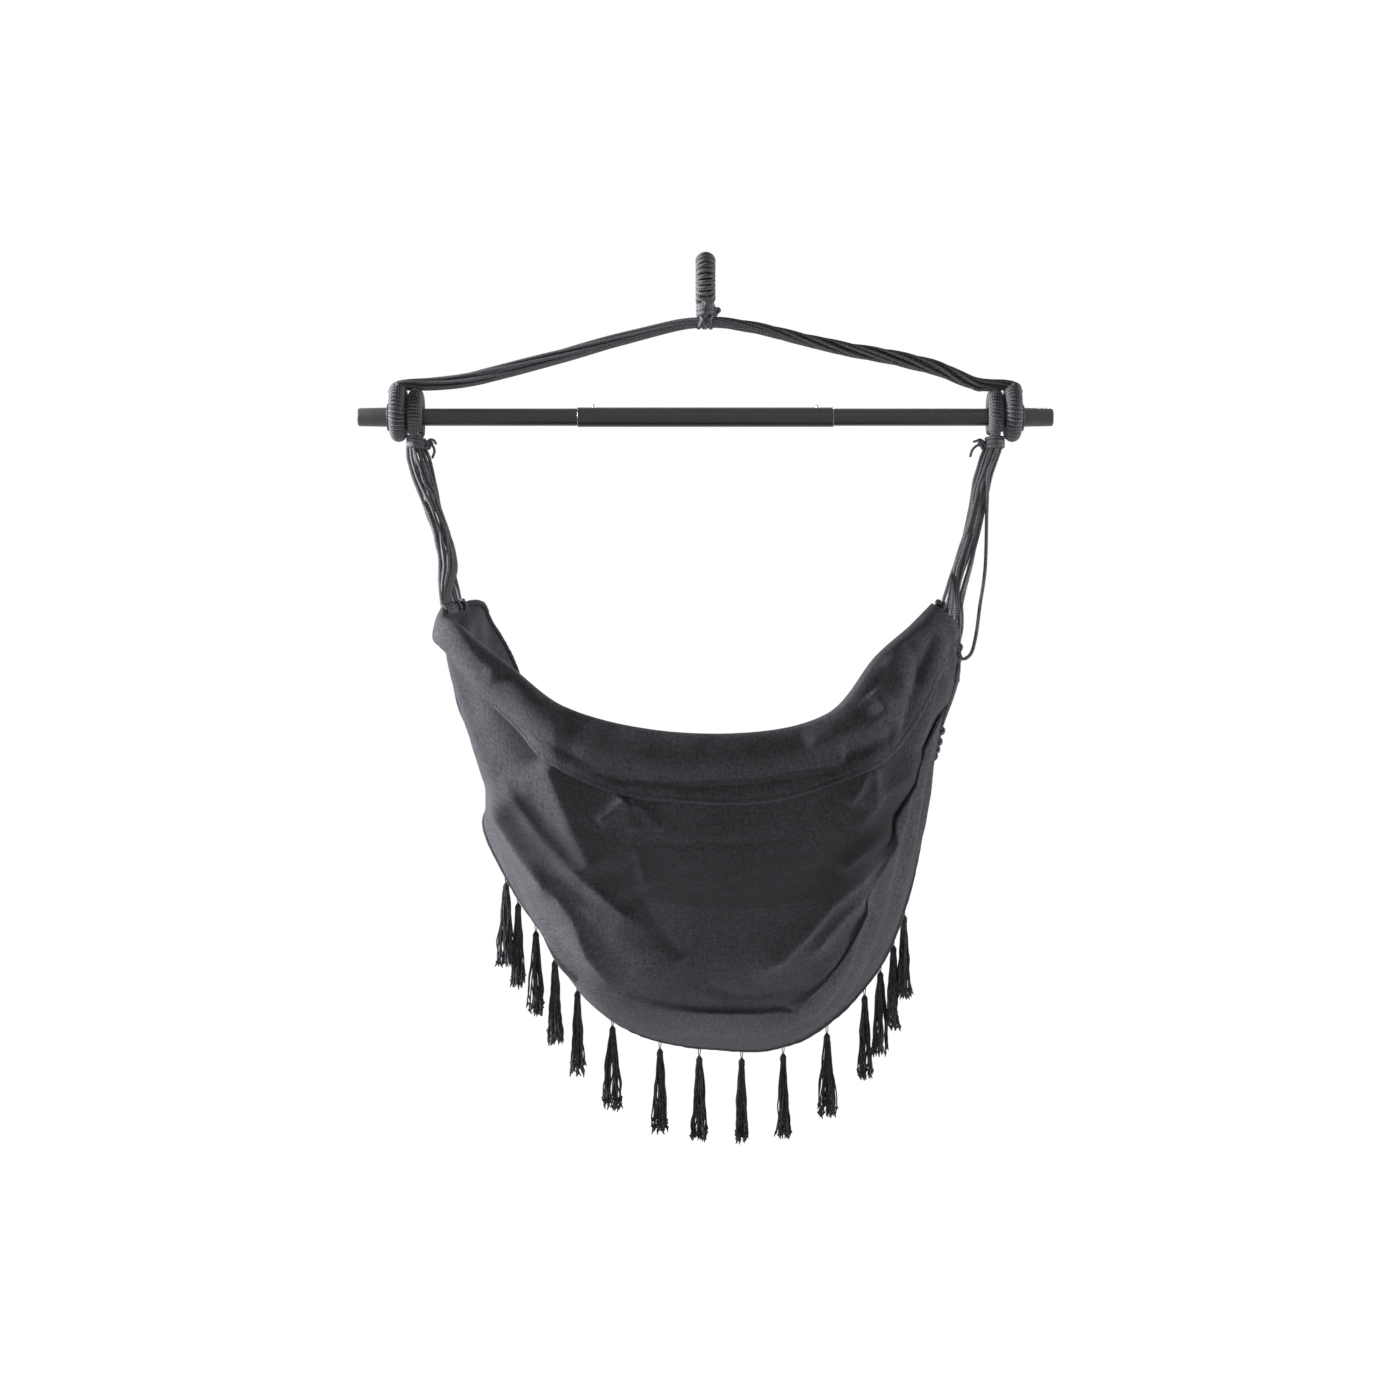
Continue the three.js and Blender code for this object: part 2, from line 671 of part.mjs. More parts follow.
/** The direction that leaves the sling on its outer side. */
function slingNormal(column, row) {
  const left = slingPlace(Math.max(column - slopeStepShare, 0), row);
  const right = slingPlace(Math.min(column + slopeStepShare, 1), row);
  const above = slingPlace(column, Math.max(row - slopeStepShare, 0));
  const below = slingPlace(column, Math.min(row + slopeStepShare, 1));
  return right.sub(left).cross(below.sub(above)).normalize().negate();
}

/** Height of the hanging folds, which droop from both sides towards the middle. */
function foldRise(column, row) {
  const spread = 2 * column - 1;
  const phase = row + foldDroopShare * spread * spread;
  const edge = Math.min(row, 1 - row, 2 * column, 2 - 2 * column) / foldFadeShare;
  return foldHeight * Math.min(edge, 1) * Math.sin(2 * Math.PI * foldCount * phase) / 2;
}

/** The sling's grid of places and outward directions. */
const slingGrid = [];
for (let row = 0; row <= sheetRows; row += 1) {
  const line = [];
  for (let column = 0; column <= sheetColumns; column += 1) {
    const across = column / sheetColumns;
    const along = row / sheetRows;
    const normal = slingNormal(across, along);
    const place = slingPlace(across, along).addScaledVector(normal, foldRise(across, along));
    line.push({ place, normal });
  }
  slingGrid.push(line);
}

/** A layer of canvas over a stretch of the grid, lifted off the sling's middle surface. */
function canvasLayer(firstRow, lastRow, firstColumn, lastColumn, lift) {
  const columns = lastColumn - firstColumn + 1;
  const rows = lastRow - firstRow + 1;
  const corners = [];
  const faces = [];
  for (const surface of [lift - sheetThickness / 2, lift + sheetThickness / 2]) {
    for (let row = firstRow; row <= lastRow; row += 1) {
      for (let column = firstColumn; column <= lastColumn; column += 1) {
        const { place, normal } = slingGrid[row][column];
        const corner = place.clone().addScaledVector(normal, surface);
        corners.push(corner.x, corner.y, corner.z);
      }
    }
  }
  const outer = rows * columns;
  const addQuad = (a, b, c, d) => faces.push(a, b, c, a, c, d);
  for (let row = 0; row < rows - 1; row += 1) {
    for (let column = 0; column < columns - 1; column += 1) {
      const here = row * columns + column;
      addQuad(here, here + 1, here + columns + 1, here + columns);
      addQuad(
        outer + here, outer + here + columns, outer + here + columns + 1, outer + here + 1,
      );
    }
  }
  const border = [];
  for (let column = 0; column < columns - 1; column += 1) border.push(column);
  for (let row = 0; row < rows - 1; row += 1) border.push(row * columns + columns - 1);
  for (let column = columns - 1; column > 0; column -= 1) {
    border.push((rows - 1) * columns + column);
  }
  for (let row = rows - 1; row > 0; row -= 1) border.push(row * columns);
  border.forEach((corner, place) => {
    const next = border[(place + 1) % border.length];
    addQuad(corner, outer + corner, outer + next, next);
  });
  const geometry = new THREE.BufferGeometry();
  geometry.setAttribute("position", new THREE.Float32BufferAttribute(corners, 3));
  geometry.setIndex(faces);
  return geometry;
}

/** Places just off an edge of the sling, one hem radius out from the canvas. */
function edgePlaces(cells) {
  return cells.map(([row, column, inRow, inColumn], cell) => {
    const edge = slingGrid[row][column].place;
    const inner = slingGrid[inRow][inColumn].place;
    const outward = edge.clone().sub(inner);
    const before = cells[Math.max(cell - 1, 0)];
    const after = cells[Math.min(cell + 1, cells.length - 1)];
    const along = slingGrid[after[0]][after[1]].place.clone();
    along.sub(slingGrid[before[0]][before[1]].place).normalize();
    outward.addScaledVector(along, -outward.dot(along)).normalize();
    const middle = edge.clone().addScaledVector(outward, hemDiameter / 2 + 2 * seatGap);
    return { middle, outward };
  });
}

function sideHemPlaces(side) {
  const column = side < 0 ? 0 : sheetColumns;
  const cells = [];
  for (let row = 0; row < sheetRows; row += 1) {
    cells.push([row, column, row, column - side]);
  }
  return edgePlaces(cells);
}

function frontHemPlaces() {
  const cells = [];
  for (let column = 0; column <= sheetColumns; column += 1) {
    cells.push([sheetRows, column, sheetRows - 1, column]);
  }
  return edgePlaces(cells);
}

function hem(places) {
  const points = places.map(({ middle }) => middle);
  return new THREE.ExtrudeGeometry(roundSection(hemDiameter / 2, hemSides), {
    steps: points.length - 1,
    extrudePath: new RopeRoute(points),
    bevelEnabled: false,
  });
}

function addSling(parent) {
  const step = sheetThickness + layerGap;
  addPiece(
    parent, "seat_sheet", canvasLayer(0, sheetRows, 0, sheetColumns, 0), canvasFinish,
  );
  const lastColumn = sheetColumns - panelSideColumns;
  addPiece(
    parent, "back_panel",
    canvasLayer(panelFirstRow, panelRows, panelSideColumns, lastColumn, step), canvasFinish,
  );
  addPiece(
    parent, "top_band",
    canvasLayer(0, bandRows, panelSideColumns, lastColumn, 2 * step), canvasFinish,
  );
  addPiece(parent, "left_side_hem", hem(sideHemPlaces(-1)), hemFinish);
  addPiece(parent, "right_side_hem", hem(sideHemPlaces(1)), hemFinish);
  addPiece(parent, "front_hem", hem(frontHemPlaces()), hemFinish);
}

// Seat cords.

/** One leg of a seat cord, from a place on the side hem up to the throat. */
function cordLeg(top, hemLine, share) {
  const hemMiddle = hemLine.getPoint(share);
  const along = hemLine.getTangent(share);
  const reach = top.clone().sub(hemMiddle).normalize();
  const slant = Math.abs(reach.dot(along));
  reach.addScaledVector(along, -reach.dot(along)).normalize();
  // A cord that meets the hem at a slant stands off it by its own radius as well.
  reach.multiplyScalar(hemDiameter / 2 + 2 * seatGap + cordRadius * slant);
  const end = reach.add(hemMiddle);
  const steps = Math.max(cordLegSteps, Math.ceil(end.distanceTo(top) / cordStepLength));
  const points = [end];
  for (let step = 1; step < steps; step += 1) {
    points.push(end.clone().lerp(top, step / steps));
  }
  points.push(top);
  return points;
}

function addSeatCords(parent, side, label, pairShares) {
  const hemPlaces = sideHemPlaces(side).map(({ middle }) => middle);
  const hemLine = new RopeRoute(hemPlaces);
  const throatZ = neckBottom - seatGap - cordRadius - cordBendRadius;
  // The right fan leaves its hindmost place free for the slack cord.
  const firstPlace = (side < 0 ? 1 : 2) / 2 - cordPairs / 2;
  pairShares.forEach((shares, pair) => {
    const y = (firstPlace + pair) * cordPairSpacing;
    const tops = [-1, 1].map((turn) => new THREE.Vector3(
      side * seatEyeX + turn * cordBendRadius, y, throatZ,
    ));
    const bend = cordBendAngles.map((angle) => new THREE.Vector3(
      side * seatEyeX - cordBendRadius * Math.cos(angle),
      y,
      throatZ + cordBendRadius * Math.sin(angle),
    ));
    const legs = tops.map((top, turn) => cordLeg(top, hemLine, shares[turn]));
    const points = [...legs[0], ...bend, ...legs[1].reverse()];
    const name = `${label}_seat_cord_${pair + 1}`;
    const cord = rope(points, cordRadius, ropeSides, points.length - 1);
    addPiece(parent, name, cord, ropeFinish);
  });
}

// Fringe.

/** How far out from the hem's middle a tassel's string stands, so that the string or
 *  the knot, whichever comes first, rests against the hem. */
function tasselReach(middle, outward, hemPoints) {
  let near = 0;
  let far = hemDiameter + 2 * tasselRadius;
  for (let halving = 0; halving < reachHalvings; halving += 1) {
    const reach = (near + far) / 2;
    const top = middle.clone().addScaledVector(outward, reach);
    let clear = Infinity;
    for (const [radiusShare, fallShare] of tasselOutlineShares) {
      const place = top.clone().addScaledVector(up, -fallShare * tasselLength);
      for (const point of hemPoints) {
        const space = place.distanceTo(point) - hemDiameter / 2 - radiusShare * tasselRadius;
        clear = Math.min(clear, space);
      }
    }
    if (clear < seatGap) {
      near = reach;
    } else {
      far = reach;
    }
  }
  return far;
}

/** The hem's middle and its outward direction at a share of the hem's length. */
function alongHem(places, share) {
  const runs = places.slice(1).map(({ middle }, run) => middle.distanceTo(places[run].middle));
  let left = share * runs.reduce((sum, run) => sum + run, 0);
  let run = 0;
  while (run < runs.length - 1 && left > runs[run]) {
    left -= runs[run];
    run += 1;
  }
  const part = left / runs[run];
  const middle = places[run].middle.clone().lerp(places[run + 1].middle, part);
  const outward = places[run].outward.clone().lerp(places[run + 1].outward, part);
  return { middle, outward: outward.normalize() };
}

function addFringe(parent) {
  const places = frontHemPlaces();
  const hemPoints = [];
  for (let sample = 0; sample <= hemSamples; sample += 1) {
    hemPoints.push(alongHem(places, sample / hemSamples).middle);
  }
  const profile = tasselOutlineShares.map(([radius, fall]) => new THREE.Vector2(
    radius * tasselRadius, -fall * tasselLength,
  ));
  tasselShares.forEach((share, count) => {
    const { middle, outward } = alongHem(places, share);
    const top = middle.clone();
    top.addScaledVector(outward, tasselReach(middle, outward, hemPoints));
    const tassel = new THREE.LatheGeometry(profile, tasselSides);
    tassel.rotateX(Math.PI / 2);
    // One corner of the faceted tassel points straight back at the hem.
    tassel.rotateZ(Math.atan2(-outward.x, outward.y));
    tassel.translate(top.x, top.y, top.z);
    addPiece(parent, `tassel_${String(count + 1).padStart(2, "0")}`, tassel, yarnFinish);
  });
}

// Loose ends.

/** A short cut end of the lashing cord that stands off the inner side of a throat. */
function addTieTail(parent, side, label) {
  const start = new THREE.Vector3(
    side * (seatEyeX - neckWidth / 2 - wrapReach),
    0,
    neckBottom + neckLength / 2,
  );
  const out = new THREE.Vector3(-side * cordDiameter, 0, 0);
  const lean = new THREE.Vector3(-side * tieTailLength / 2, 0, -tieTailLength / 4);
  const fall = new THREE.Vector3(-side * tieTailLength / 2, 0, -tieTailLength);
  const points = [out, lean, fall].map((step) => start.clone().add(step));
  points.unshift(start);
  const tail = rope(points, cordRadius, ropeSides, tailSteps);
  addPiece(parent, `${label}_tie_tail`, tail, ropeFinish);
}

/** The cord that hangs slack outside the right fan, hooked back at its lower end. */
function addSlackCord(parent) {
  const hemLine = new RopeRoute(sideHemPlaces(1).map(({ middle }) => middle));
  const hemMiddle = hemLine.getPoint(slackEndShare);
  const end = hemMiddle.clone();
  end.x += hemDiameter / 2 + 2 * seatGap + cordRadius;
  const top = new THREE.Vector3(
    seatEyeX, -cordPairs * cordPairSpacing / 2, neckBottom - seatGap,
  );
  const fall = top.z - end.z;
  const points = [
    top,
    top.clone().addScaledVector(down, cordDiameter),
    top.clone().add(new THREE.Vector3(slackCordBowWidth / 2, -cordDiameter, -fall / 4)),
    top.clone().lerp(end, 2 / 3).add(new THREE.Vector3(slackCordBowWidth, 0, 0)),
    end.clone().add(new THREE.Vector3(slackCordBowWidth, 0, slackCordBowWidth / 4)),
    end.clone().add(new THREE.Vector3(slackCordBowWidth / 2, 0, -slackCordBowWidth / 2)),
    end,
  ];
  const cord = rope(points, cordRadius, ropeSides, 2 * (points.length - 1));
  addPiece(parent, "right_slack_cord", cord, ropeFinish);
}

// The whole chair.

function hammockChair() {
  const chair = new THREE.Group();
  addHangingLoop(chair);
  const barFrame = new THREE.Group();
  barFrame.position.z = -hookToBarDistance;
  chair.add(barFrame);
  for (const [side, label] of [[-1, "left"], [1, "right"]]) {
    addHarnessBundle(chair, side, label);
    addHarnessEye(barFrame, side, label);
    addSeatEye(barFrame, side, label);
    addSeatCords(barFrame, side, label, side < 0 ? leftCordShares : rightCordShares);
    addTieTail(barFrame, side, label);
  }
  addBar(barFrame);
  addSling(barFrame);
  addFringe(barFrame);
  addSlackCord(barFrame);
  return chair;
}

export default hammockChair();
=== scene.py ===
"""Hammock chair: a canvas sling with a tasselled front edge, hung from a jointed spreader bar.

Metres, +Z up, +X along the spreader bar, +Y from the sitter's back to the knees. The origin
is the crown of the hanging loop's hole.
"""

import logging
import math
from dataclasses import dataclass, field
from enum import Enum
from functools import partial
from typing import Any, Sequence

import bmesh
import bpy
import numpy as np
from mathutils import Matrix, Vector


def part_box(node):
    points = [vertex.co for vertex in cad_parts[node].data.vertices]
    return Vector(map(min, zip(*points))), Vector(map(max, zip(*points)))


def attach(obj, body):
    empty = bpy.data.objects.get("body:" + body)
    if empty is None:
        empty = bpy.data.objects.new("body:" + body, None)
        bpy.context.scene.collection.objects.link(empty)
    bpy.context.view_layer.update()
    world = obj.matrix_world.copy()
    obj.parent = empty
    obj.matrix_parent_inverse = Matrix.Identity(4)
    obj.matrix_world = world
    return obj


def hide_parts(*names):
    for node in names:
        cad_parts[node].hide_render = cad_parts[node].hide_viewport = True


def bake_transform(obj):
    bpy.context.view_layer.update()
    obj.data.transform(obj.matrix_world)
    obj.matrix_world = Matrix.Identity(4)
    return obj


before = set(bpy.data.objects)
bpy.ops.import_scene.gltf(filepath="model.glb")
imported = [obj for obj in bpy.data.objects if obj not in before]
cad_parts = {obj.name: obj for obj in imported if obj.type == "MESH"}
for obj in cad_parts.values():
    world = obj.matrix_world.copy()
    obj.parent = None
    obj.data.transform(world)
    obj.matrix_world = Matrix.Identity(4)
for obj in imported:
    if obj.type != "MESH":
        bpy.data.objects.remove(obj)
log = logging.getLogger("hammock_chair")

MM = 0.001
Line = Sequence[tuple[float, float]]
X_WAY = np.array([1.0, 0.0, 0.0])
Y_WAY = np.array([0.0, 1.0, 0.0])
Z_WAY = np.array([0.0, 0.0, 1.0])
BAR_Z = -0.213  # the middle of the spreader bar
SEAT_EYE_X = 416.25 * MM  # the middle of the eye that carries the seat


class Side(Enum):
    """The two ends of the spreader bar, as seen from behind the chair."""

    LEFT = -1
    RIGHT = 1

    @property
    def label(self) -> str:
        """The word that the side's nodes start with."""
        return self.name.lower()

    def pick(self, left: Any, right: Any) -> Any:
        """Chooses this side's value from the left one and the right one."""
        return left if self is Side.LEFT else right


# Colours and materials.


def linear(hex_colour: str) -> tuple[float, float, float, float]:
    """Turns an sRGB hex colour into linear red, green, blue and alpha.

    Args:
        hex_colour: six hex digits after a hash sign.

    Returns:
        The linear colour with an alpha of one.
    """
    parts = [int(hex_colour[place : place + 2], 16) / 255 for place in (1, 3, 5)]
    red, green, blue = (
        part / 12.92 if part <= 0.04045 else ((part + 0.055) / 1.055) ** 2.4
        for part in parts
    )
    return (red, green, blue, 1.0)


def connect(tree: Any, node: Any, inputs: dict[Any, Any]) -> None:
    """Sets a node's inputs.

    Args:
        tree: the node tree.
        node: the node.
        inputs: for each input's name or number, a value, another node's output, or another
            node whose first output is taken.
    """
    for key, value in inputs.items():
        source = value.outputs[0] if isinstance(value, bpy.types.Node) else value
        if isinstance(source, bpy.types.NodeSocket):
            tree.links.new(source, node.inputs[key])
        else:
            node.inputs[key].default_value = source


def add_node(tree: Any, kind: str, inputs: dict[Any, Any] | None = None, **settings: Any) -> Any:
    """Adds a node to a tree, with its settings and its inputs.

    Args:
        tree: the node tree.
        kind: the node's type name.
        inputs: its inputs, as connect takes them.
        settings: the node's own properties.

    Returns:
        The new node.
    """
    node = tree.nodes.new(kind)
    for name, value in settings.items():
        setattr(node, name, value)
    connect(tree, node, inputs or {})
    return node


def blank_material(name: str) -> tuple[Any, Any, Any]:
    """Starts a material with an empty shader.

    Args:
        name: the material's name.

    Returns:
        The material, its node tree and its Principled shader.
    """
    material = bpy.data.materials.new(name)
    material.use_nodes = True
    tree = material.node_tree
    tree.nodes.clear()
    shader = add_node(tree, "ShaderNodeBsdfPrincipled")
    add_node(tree, "ShaderNodeOutputMaterial", {0: shader})
    return material, tree, shader


def dress(
    tree: Any, shader: Any, tone: Any, ramp: tuple[str, str, float, float],
    bump: tuple[Any, float, float] | None, sockets: dict[str, Any],
) -> None:
    """Gives a shader its colour, its bump and the rest of its looks.

    Args:
        tree: the node tree.
        shader: the Principled shader.
        tone: the node that says where a place lies between two colours.
        ramp: the two sRGB colours and the tones at which they are reached.
        bump: the node of its height, its strength and its depth in metres, if it has one.
        sockets: the shader's other inputs.
    """
    colour = add_node(tree, "ShaderNodeValToRGB", {0: tone})
    for place, element in enumerate(colour.color_ramp.elements):
        element.position = ramp[place + 2]
        element.color = linear(ramp[place])
    if bump:
        inputs = dict(zip(("Height", "Strength", "Distance"), bump))
        sockets = {**sockets, "Normal": add_node(tree, "ShaderNodeBump", inputs)}
    connect(tree, shader, {**sockets, "Base Color": colour})


@dataclass(frozen=True)
class SlubCanvas:
    """Washed cotton canvas, plain woven from uneven yarn and dyed in the piece."""

    name: str = "washed_slub_cotton_canvas"
    dark: str = "#46464a"
    light: str = "#74747a"
    sheen: str = "#a9a9b0"
    thread_spacing: float = 2.0 * MM
    slub_length: float = 24 * MM
    slub_width: float = 1.5 * MM
    mottle_size: float = 70 * MM
    fleck_size: float = 4.5 * MM
    slub_tone: float = 0.3
    mottle_tone: float = 0.17
    fleck_tone: float = 0.5
    least_tone: float = 0.04
    fleck_depth: float = 0.35
    weave_depth: float = 0.5

    def build(self) -> bpy.types.Material:
        """Makes the material, which reads the cloth's own UV map in metres."""
        # Thick and thin yarns leave short pale and dark dashes both ways, washing leaves
        # soft clouds, and the loose fibre on the threads gives a faint sheen at the folds.
        # The real threads are 0.8 mm apart. They are drawn 2.5 times as coarse to show.
        material, tree, shader = blank_material(self.name)
        add = partial(add_node, tree)
        place = add("ShaderNodeUVMap", uv_map="UVMap")
        long, thin = 1 / self.slub_length, 1 / self.slub_width
        slubs = []
        for scale in ((long, thin, 1), (thin, long, 1)):
            dashes = add("ShaderNodeMapping", {"Vector": place, "Scale": scale})
            sizes = {"Vector": dashes, "Scale": 1.0, "Detail": 2.0, "Roughness": 0.6}
            slubs.append(add("ShaderNodeTexNoise", sizes))
        slub = add("ShaderNodeMath", dict(enumerate(slubs)), operation="ADD")
        sizes = {
            "Vector": place, "Scale": math.pi / 10 / self.thread_spacing, "Distortion": 1.5,
            "Detail": 1.0,
        }
        threads = [
            add("ShaderNodeTexWave", sizes, bands_direction=way).outputs[1] for way in ("X", "Y")
        ]
        weave = add("ShaderNodeMath", dict(enumerate(threads)), operation="MULTIPLY")
        cloud, fleck = (
            add(
                "ShaderNodeTexNoise",
                {"Vector": place, "Scale": 1 / size, "Detail": detail, "Roughness": rough},
            )
            for size, detail, rough in ((self.mottle_size, 4.0, 0.55), (self.fleck_size, 1.5, 0.6))
        )
        tone, height = self.least_tone, slub
        for part, share in (
            (slub, self.slub_tone), (cloud, self.mottle_tone), (fleck, self.fleck_tone)
        ):
            tone = add("ShaderNodeMath", {0: part, 1: share, 2: tone}, operation="MULTIPLY_ADD")
        for part, share in ((weave, self.weave_depth), (fleck, self.fleck_depth)):
            height = add(
                "ShaderNodeMath", {0: part, 1: share, 2: height}, operation="MULTIPLY_ADD"
            )
        dress(
            tree, shader, tone, (self.dark, self.light, 0.46, 0.80), (height, 0.75, 0.7 * MM),
            {"Roughness": 0.95, "Specular IOR Level": 0.06, "Sheen Weight": 0.03,
             "Sheen Roughness": 0.5, "Sheen Tint": linear(self.sheen)},
        )
        return material


@dataclass(frozen=True)
class BraidedCord:
    """Soft cotton cord, braided round a core and dyed with the canvas."""

    name: str = "braided_cotton_cord"
    # dark is painted shade for the gaps between strands, and light is painted light on the
    # stitches.
    dark: str = "#4c4c50"
    light: str = "#b4b4ba"
    sheen: str = "#a9a9b0"
    crossings: int = 4
    pitch: float = 7 * MM
    braid_shading_tone: float = 0.32
    fuzz_scale: float = 900.0

    def build(self) -> bpy.types.Material:
        """Makes the material, whose UV map holds the share round and the metres along."""
        # Plaited strands show as a herringbone of small stitches, with painted light making the
        # stitches pale and painted shade darkening the gaps between them.
        # A real stitch is 1.5 mm wide. It is drawn about twice as wide so that it shows.
        material, tree, shader = blank_material(self.name)
        add = partial(add_node, tree)
        split = add("ShaderNodeSeparateXYZ", {0: add("ShaderNodeUVMap", uv_map="UVMap")})
        pitch = {0: split.outputs[1], 1: 2 * math.pi / self.pitch}
        along = add("ShaderNodeMath", pitch, operation="MULTIPLY")
        strands = []
        for turn in (math.pi, -math.pi):
            round_way = {0: split, 1: turn * self.crossings, 2: along}
            angle = add("ShaderNodeMath", round_way, operation="MULTIPLY_ADD")
            strands.append(add("ShaderNodeMath", {0: angle}, operation="SINE"))
        braid = add("ShaderNodeMath", dict(enumerate(strands)), operation="MULTIPLY")
        place = add("ShaderNodeTexCoord").outputs["Object"]
        sizes = {"Vector": place, "Scale": self.fuzz_scale, "Detail": 2.0}
        fuzz = add("ShaderNodeTexNoise", sizes)
        # The braid paints light on the stitches and shade in the gaps, and the fuzz breaks it up.
        parts = {0: braid, 1: self.braid_shading_tone, 2: fuzz}
        tone = add("ShaderNodeMath", parts, operation="MULTIPLY_ADD")
        dress(
            tree, shader, tone, (self.dark, self.light, 0.15, 0.85), (tone, 0.7, 0.6 * MM),
            {"Roughness": 0.93, "Specular IOR Level": 0.1, "Sheen Weight": 0.05,
             "Sheen Roughness": 0.5, "Sheen Tint": linear(self.sheen)},
        )
        return material


@dataclass(frozen=True)
class CottonYarn:
    """Loosely twisted cotton yarn, cut and left to fray at its ends."""

    name: str = "twisted_cotton_yarn"
    dark: str = "#2f2f32"
    light: str = "#78787d"
    fibre_width: float = 0.7 * MM
    fibre_length: float = 9 * MM

    def build(self) -> bpy.types.Material:
        """Makes the material from fibres that run down the hanging yarn."""
        # The fibres lie along the strand, so it looks streaked and quite dull.
        material, tree, shader = blank_material(self.name)
        place = add_node(tree, "ShaderNodeTexCoord").outputs["Object"]
        fine = 1 / self.fibre_width
        scale = (fine, fine, 1 / self.fibre_length)
        lain = add_node(tree, "ShaderNodeMapping", {"Vector": place, "Scale": scale})
        sizes = {"Vector": lain, "Scale": 1.0, "Detail": 2.0}
        fibre = add_node(tree, "ShaderNodeTexNoise", sizes)
        dress(
            tree, shader, fibre, (self.dark, self.light, 0.35, 0.7), (fibre, 0.6, 0.3 * MM),
            {"Roughness": 0.95, "Specular IOR Level": 0.08},
        )
        return material


@dataclass(frozen=True)
class PowderCoat:
    """Satin powder coat, baked on thin steel tube."""

    name: str = "satin_powder_coated_steel"
    colour: str = "#2b292b"
    dust: str = "#3a383a"
    peel_size: float = 2.6 * MM
    streaks: tuple[float, float, float] = (6, 160, 160)

    def build(self) -> bpy.types.Material:
        """Makes the material with the coat's faint orange peel."""
        # The coat flows as it bakes, so highlights run soft and slightly rippled, and
        # handling leaves faint streaks along the tube.
        material, tree, shader = blank_material(self.name)
        add = partial(add_node, tree)
        place = add("ShaderNodeTexCoord").outputs["Object"]
        sizes = {"Vector": place, "Scale": 1 / self.peel_size, "Detail": 1.0}
        peel = add("ShaderNodeTexNoise", sizes)
        drawn = add("ShaderNodeMapping", {"Vector": place, "Scale": self.streaks})
        streak = add("ShaderNodeTexNoise", {"Vector": drawn, "Scale": 1.0, "Detail": 3.0})
        rough = add("ShaderNodeMapRange", {0: streak, 1: 0.3, 2: 0.7, 3: 0.34, 4: 0.46})
        dress(
            tree, shader, streak, (self.colour, self.dust, 0.45, 0.8), (peel, 0.15, 0.1 * MM),
            {"Roughness": rough},
        )
        return material


@dataclass(frozen=True)
class MouldedPlastic:
    """Injection-moulded polyethylene with a fine eroded grain."""

    name: str = "moulded_polyethylene"
    colour: str = "#454548"
    worn: str = "#545457"
    grain_size: float = 0.9 * MM
    cloud_scale: float = 60.0

    def build(self) -> bpy.types.Material:
        """Makes the material with the mould's grain."""
        # The grain breaks the gloss into a wide soft sheen, paler where hands rub it.
        material, tree, shader = blank_material(self.name)
        place = add_node(tree, "ShaderNodeTexCoord").outputs["Object"]
        grain, cloud = (
            add_node(tree, "ShaderNodeTexNoise", {"Vector": place, "Scale": scale, "Detail": 2.0})
            for scale in (1 / self.grain_size, self.cloud_scale)
        )
        dress(
            tree, shader, cloud, (self.colour, self.worn, 0.4, 0.75), (grain, 0.3, 0.1 * MM),
            {"Roughness": 0.46, "IOR": 1.51},
        )
        return material


@dataclass(frozen=True)
class ZincPlate:
    """Bright zinc plate on small stamped and turned steel."""

    name: str = "bright_zinc_plated_steel"
    colour: str = "#b9bbbf"
    scuffed: str = "#d7d8da"
    scratch_size: float = 1.5 * MM

    def build(self) -> bpy.types.Material:
        """Makes the material with fine scuffs."""
        # Plated steel stays bright, with a cloudy shine where it has rubbed in its hole.
        material, tree, shader = blank_material(self.name)
        place = add_node(tree, "ShaderNodeTexCoord").outputs["Object"]
        sizes = {"Vector": place, "Scale": 1 / self.scratch_size, "Detail": 3.0}
        scuff = add_node(tree, "ShaderNodeTexNoise", sizes)
        shine = {0: scuff, 1: 0.3, 2: 0.7, 3: 0.24, 4: 0.38}
        rough = add_node(tree, "ShaderNodeMapRange", shine)
        ramp = (self.colour, self.scuffed, 0.35, 0.7)
        dress(tree, shader, scuff, ramp, None, {"Roughness": rough, "Metallic": 1.0})
        return material


@dataclass(frozen=True)
class SewingThread:
    """Polyester sewing thread, a shade darker than the canvas."""

    name: str = "polyester_sewing_thread"
    dark: str = "#232325"
    light: str = "#3b3b3f"
    twist_scale: float = 700.0

    def build(self) -> bpy.types.Material:
        """Makes the material with a faint change of tone from stitch to stitch."""
        # Twisted thread glints a little more than the canvas that it is pulled into.
        material, tree, shader = blank_material(self.name)
        place = add_node(tree, "ShaderNodeTexCoord").outputs["Object"]
        sizes = {"Vector": place, "Scale": self.twist_scale, "Detail": 1.0}
        twist = add_node(tree, "ShaderNodeTexNoise", sizes)
        dress(tree, shader, twist, (self.dark, self.light, 0.35, 0.65), None, {"Roughness": 0.7})
        return material


@dataclass
class Wardrobe:
    """All the finishes, each made once."""

    canvas: bpy.types.Material
    hem: bpy.types.Material
    cord: bpy.types.Material
    wrap: bpy.types.Material
    yarn: bpy.types.Material
    paint: bpy.types.Material
    plastic: bpy.types.Material
    zinc: bpy.types.Material
    thread: bpy.types.Material

    @classmethod
    def open(cls) -> "Wardrobe":
        """Builds every finish."""
        finishes = (
            SlubCanvas(), SlubCanvas(name="folded_canvas_hem", dark="#4b4b4f"), BraidedCord(),
            # The wound cord's dark and light are also painted shade and painted light on its
            # strands.
            BraidedCord(name="wound_cotton_cord", dark="#47474b", light="#acacb2", pitch=6 * MM),
            CottonYarn(), PowderCoat(), MouldedPlastic(), ZincPlate(), SewingThread(),
        )
        return cls(*(finish.build() for finish in finishes))


# Shapes.


def unit(vectors: np.ndarray) -> np.ndarray:
    """Scales vectors to a length of one."""
    return vectors / np.maximum(np.linalg.norm(vectors, axis=-1, keepdims=True), 1e-12)


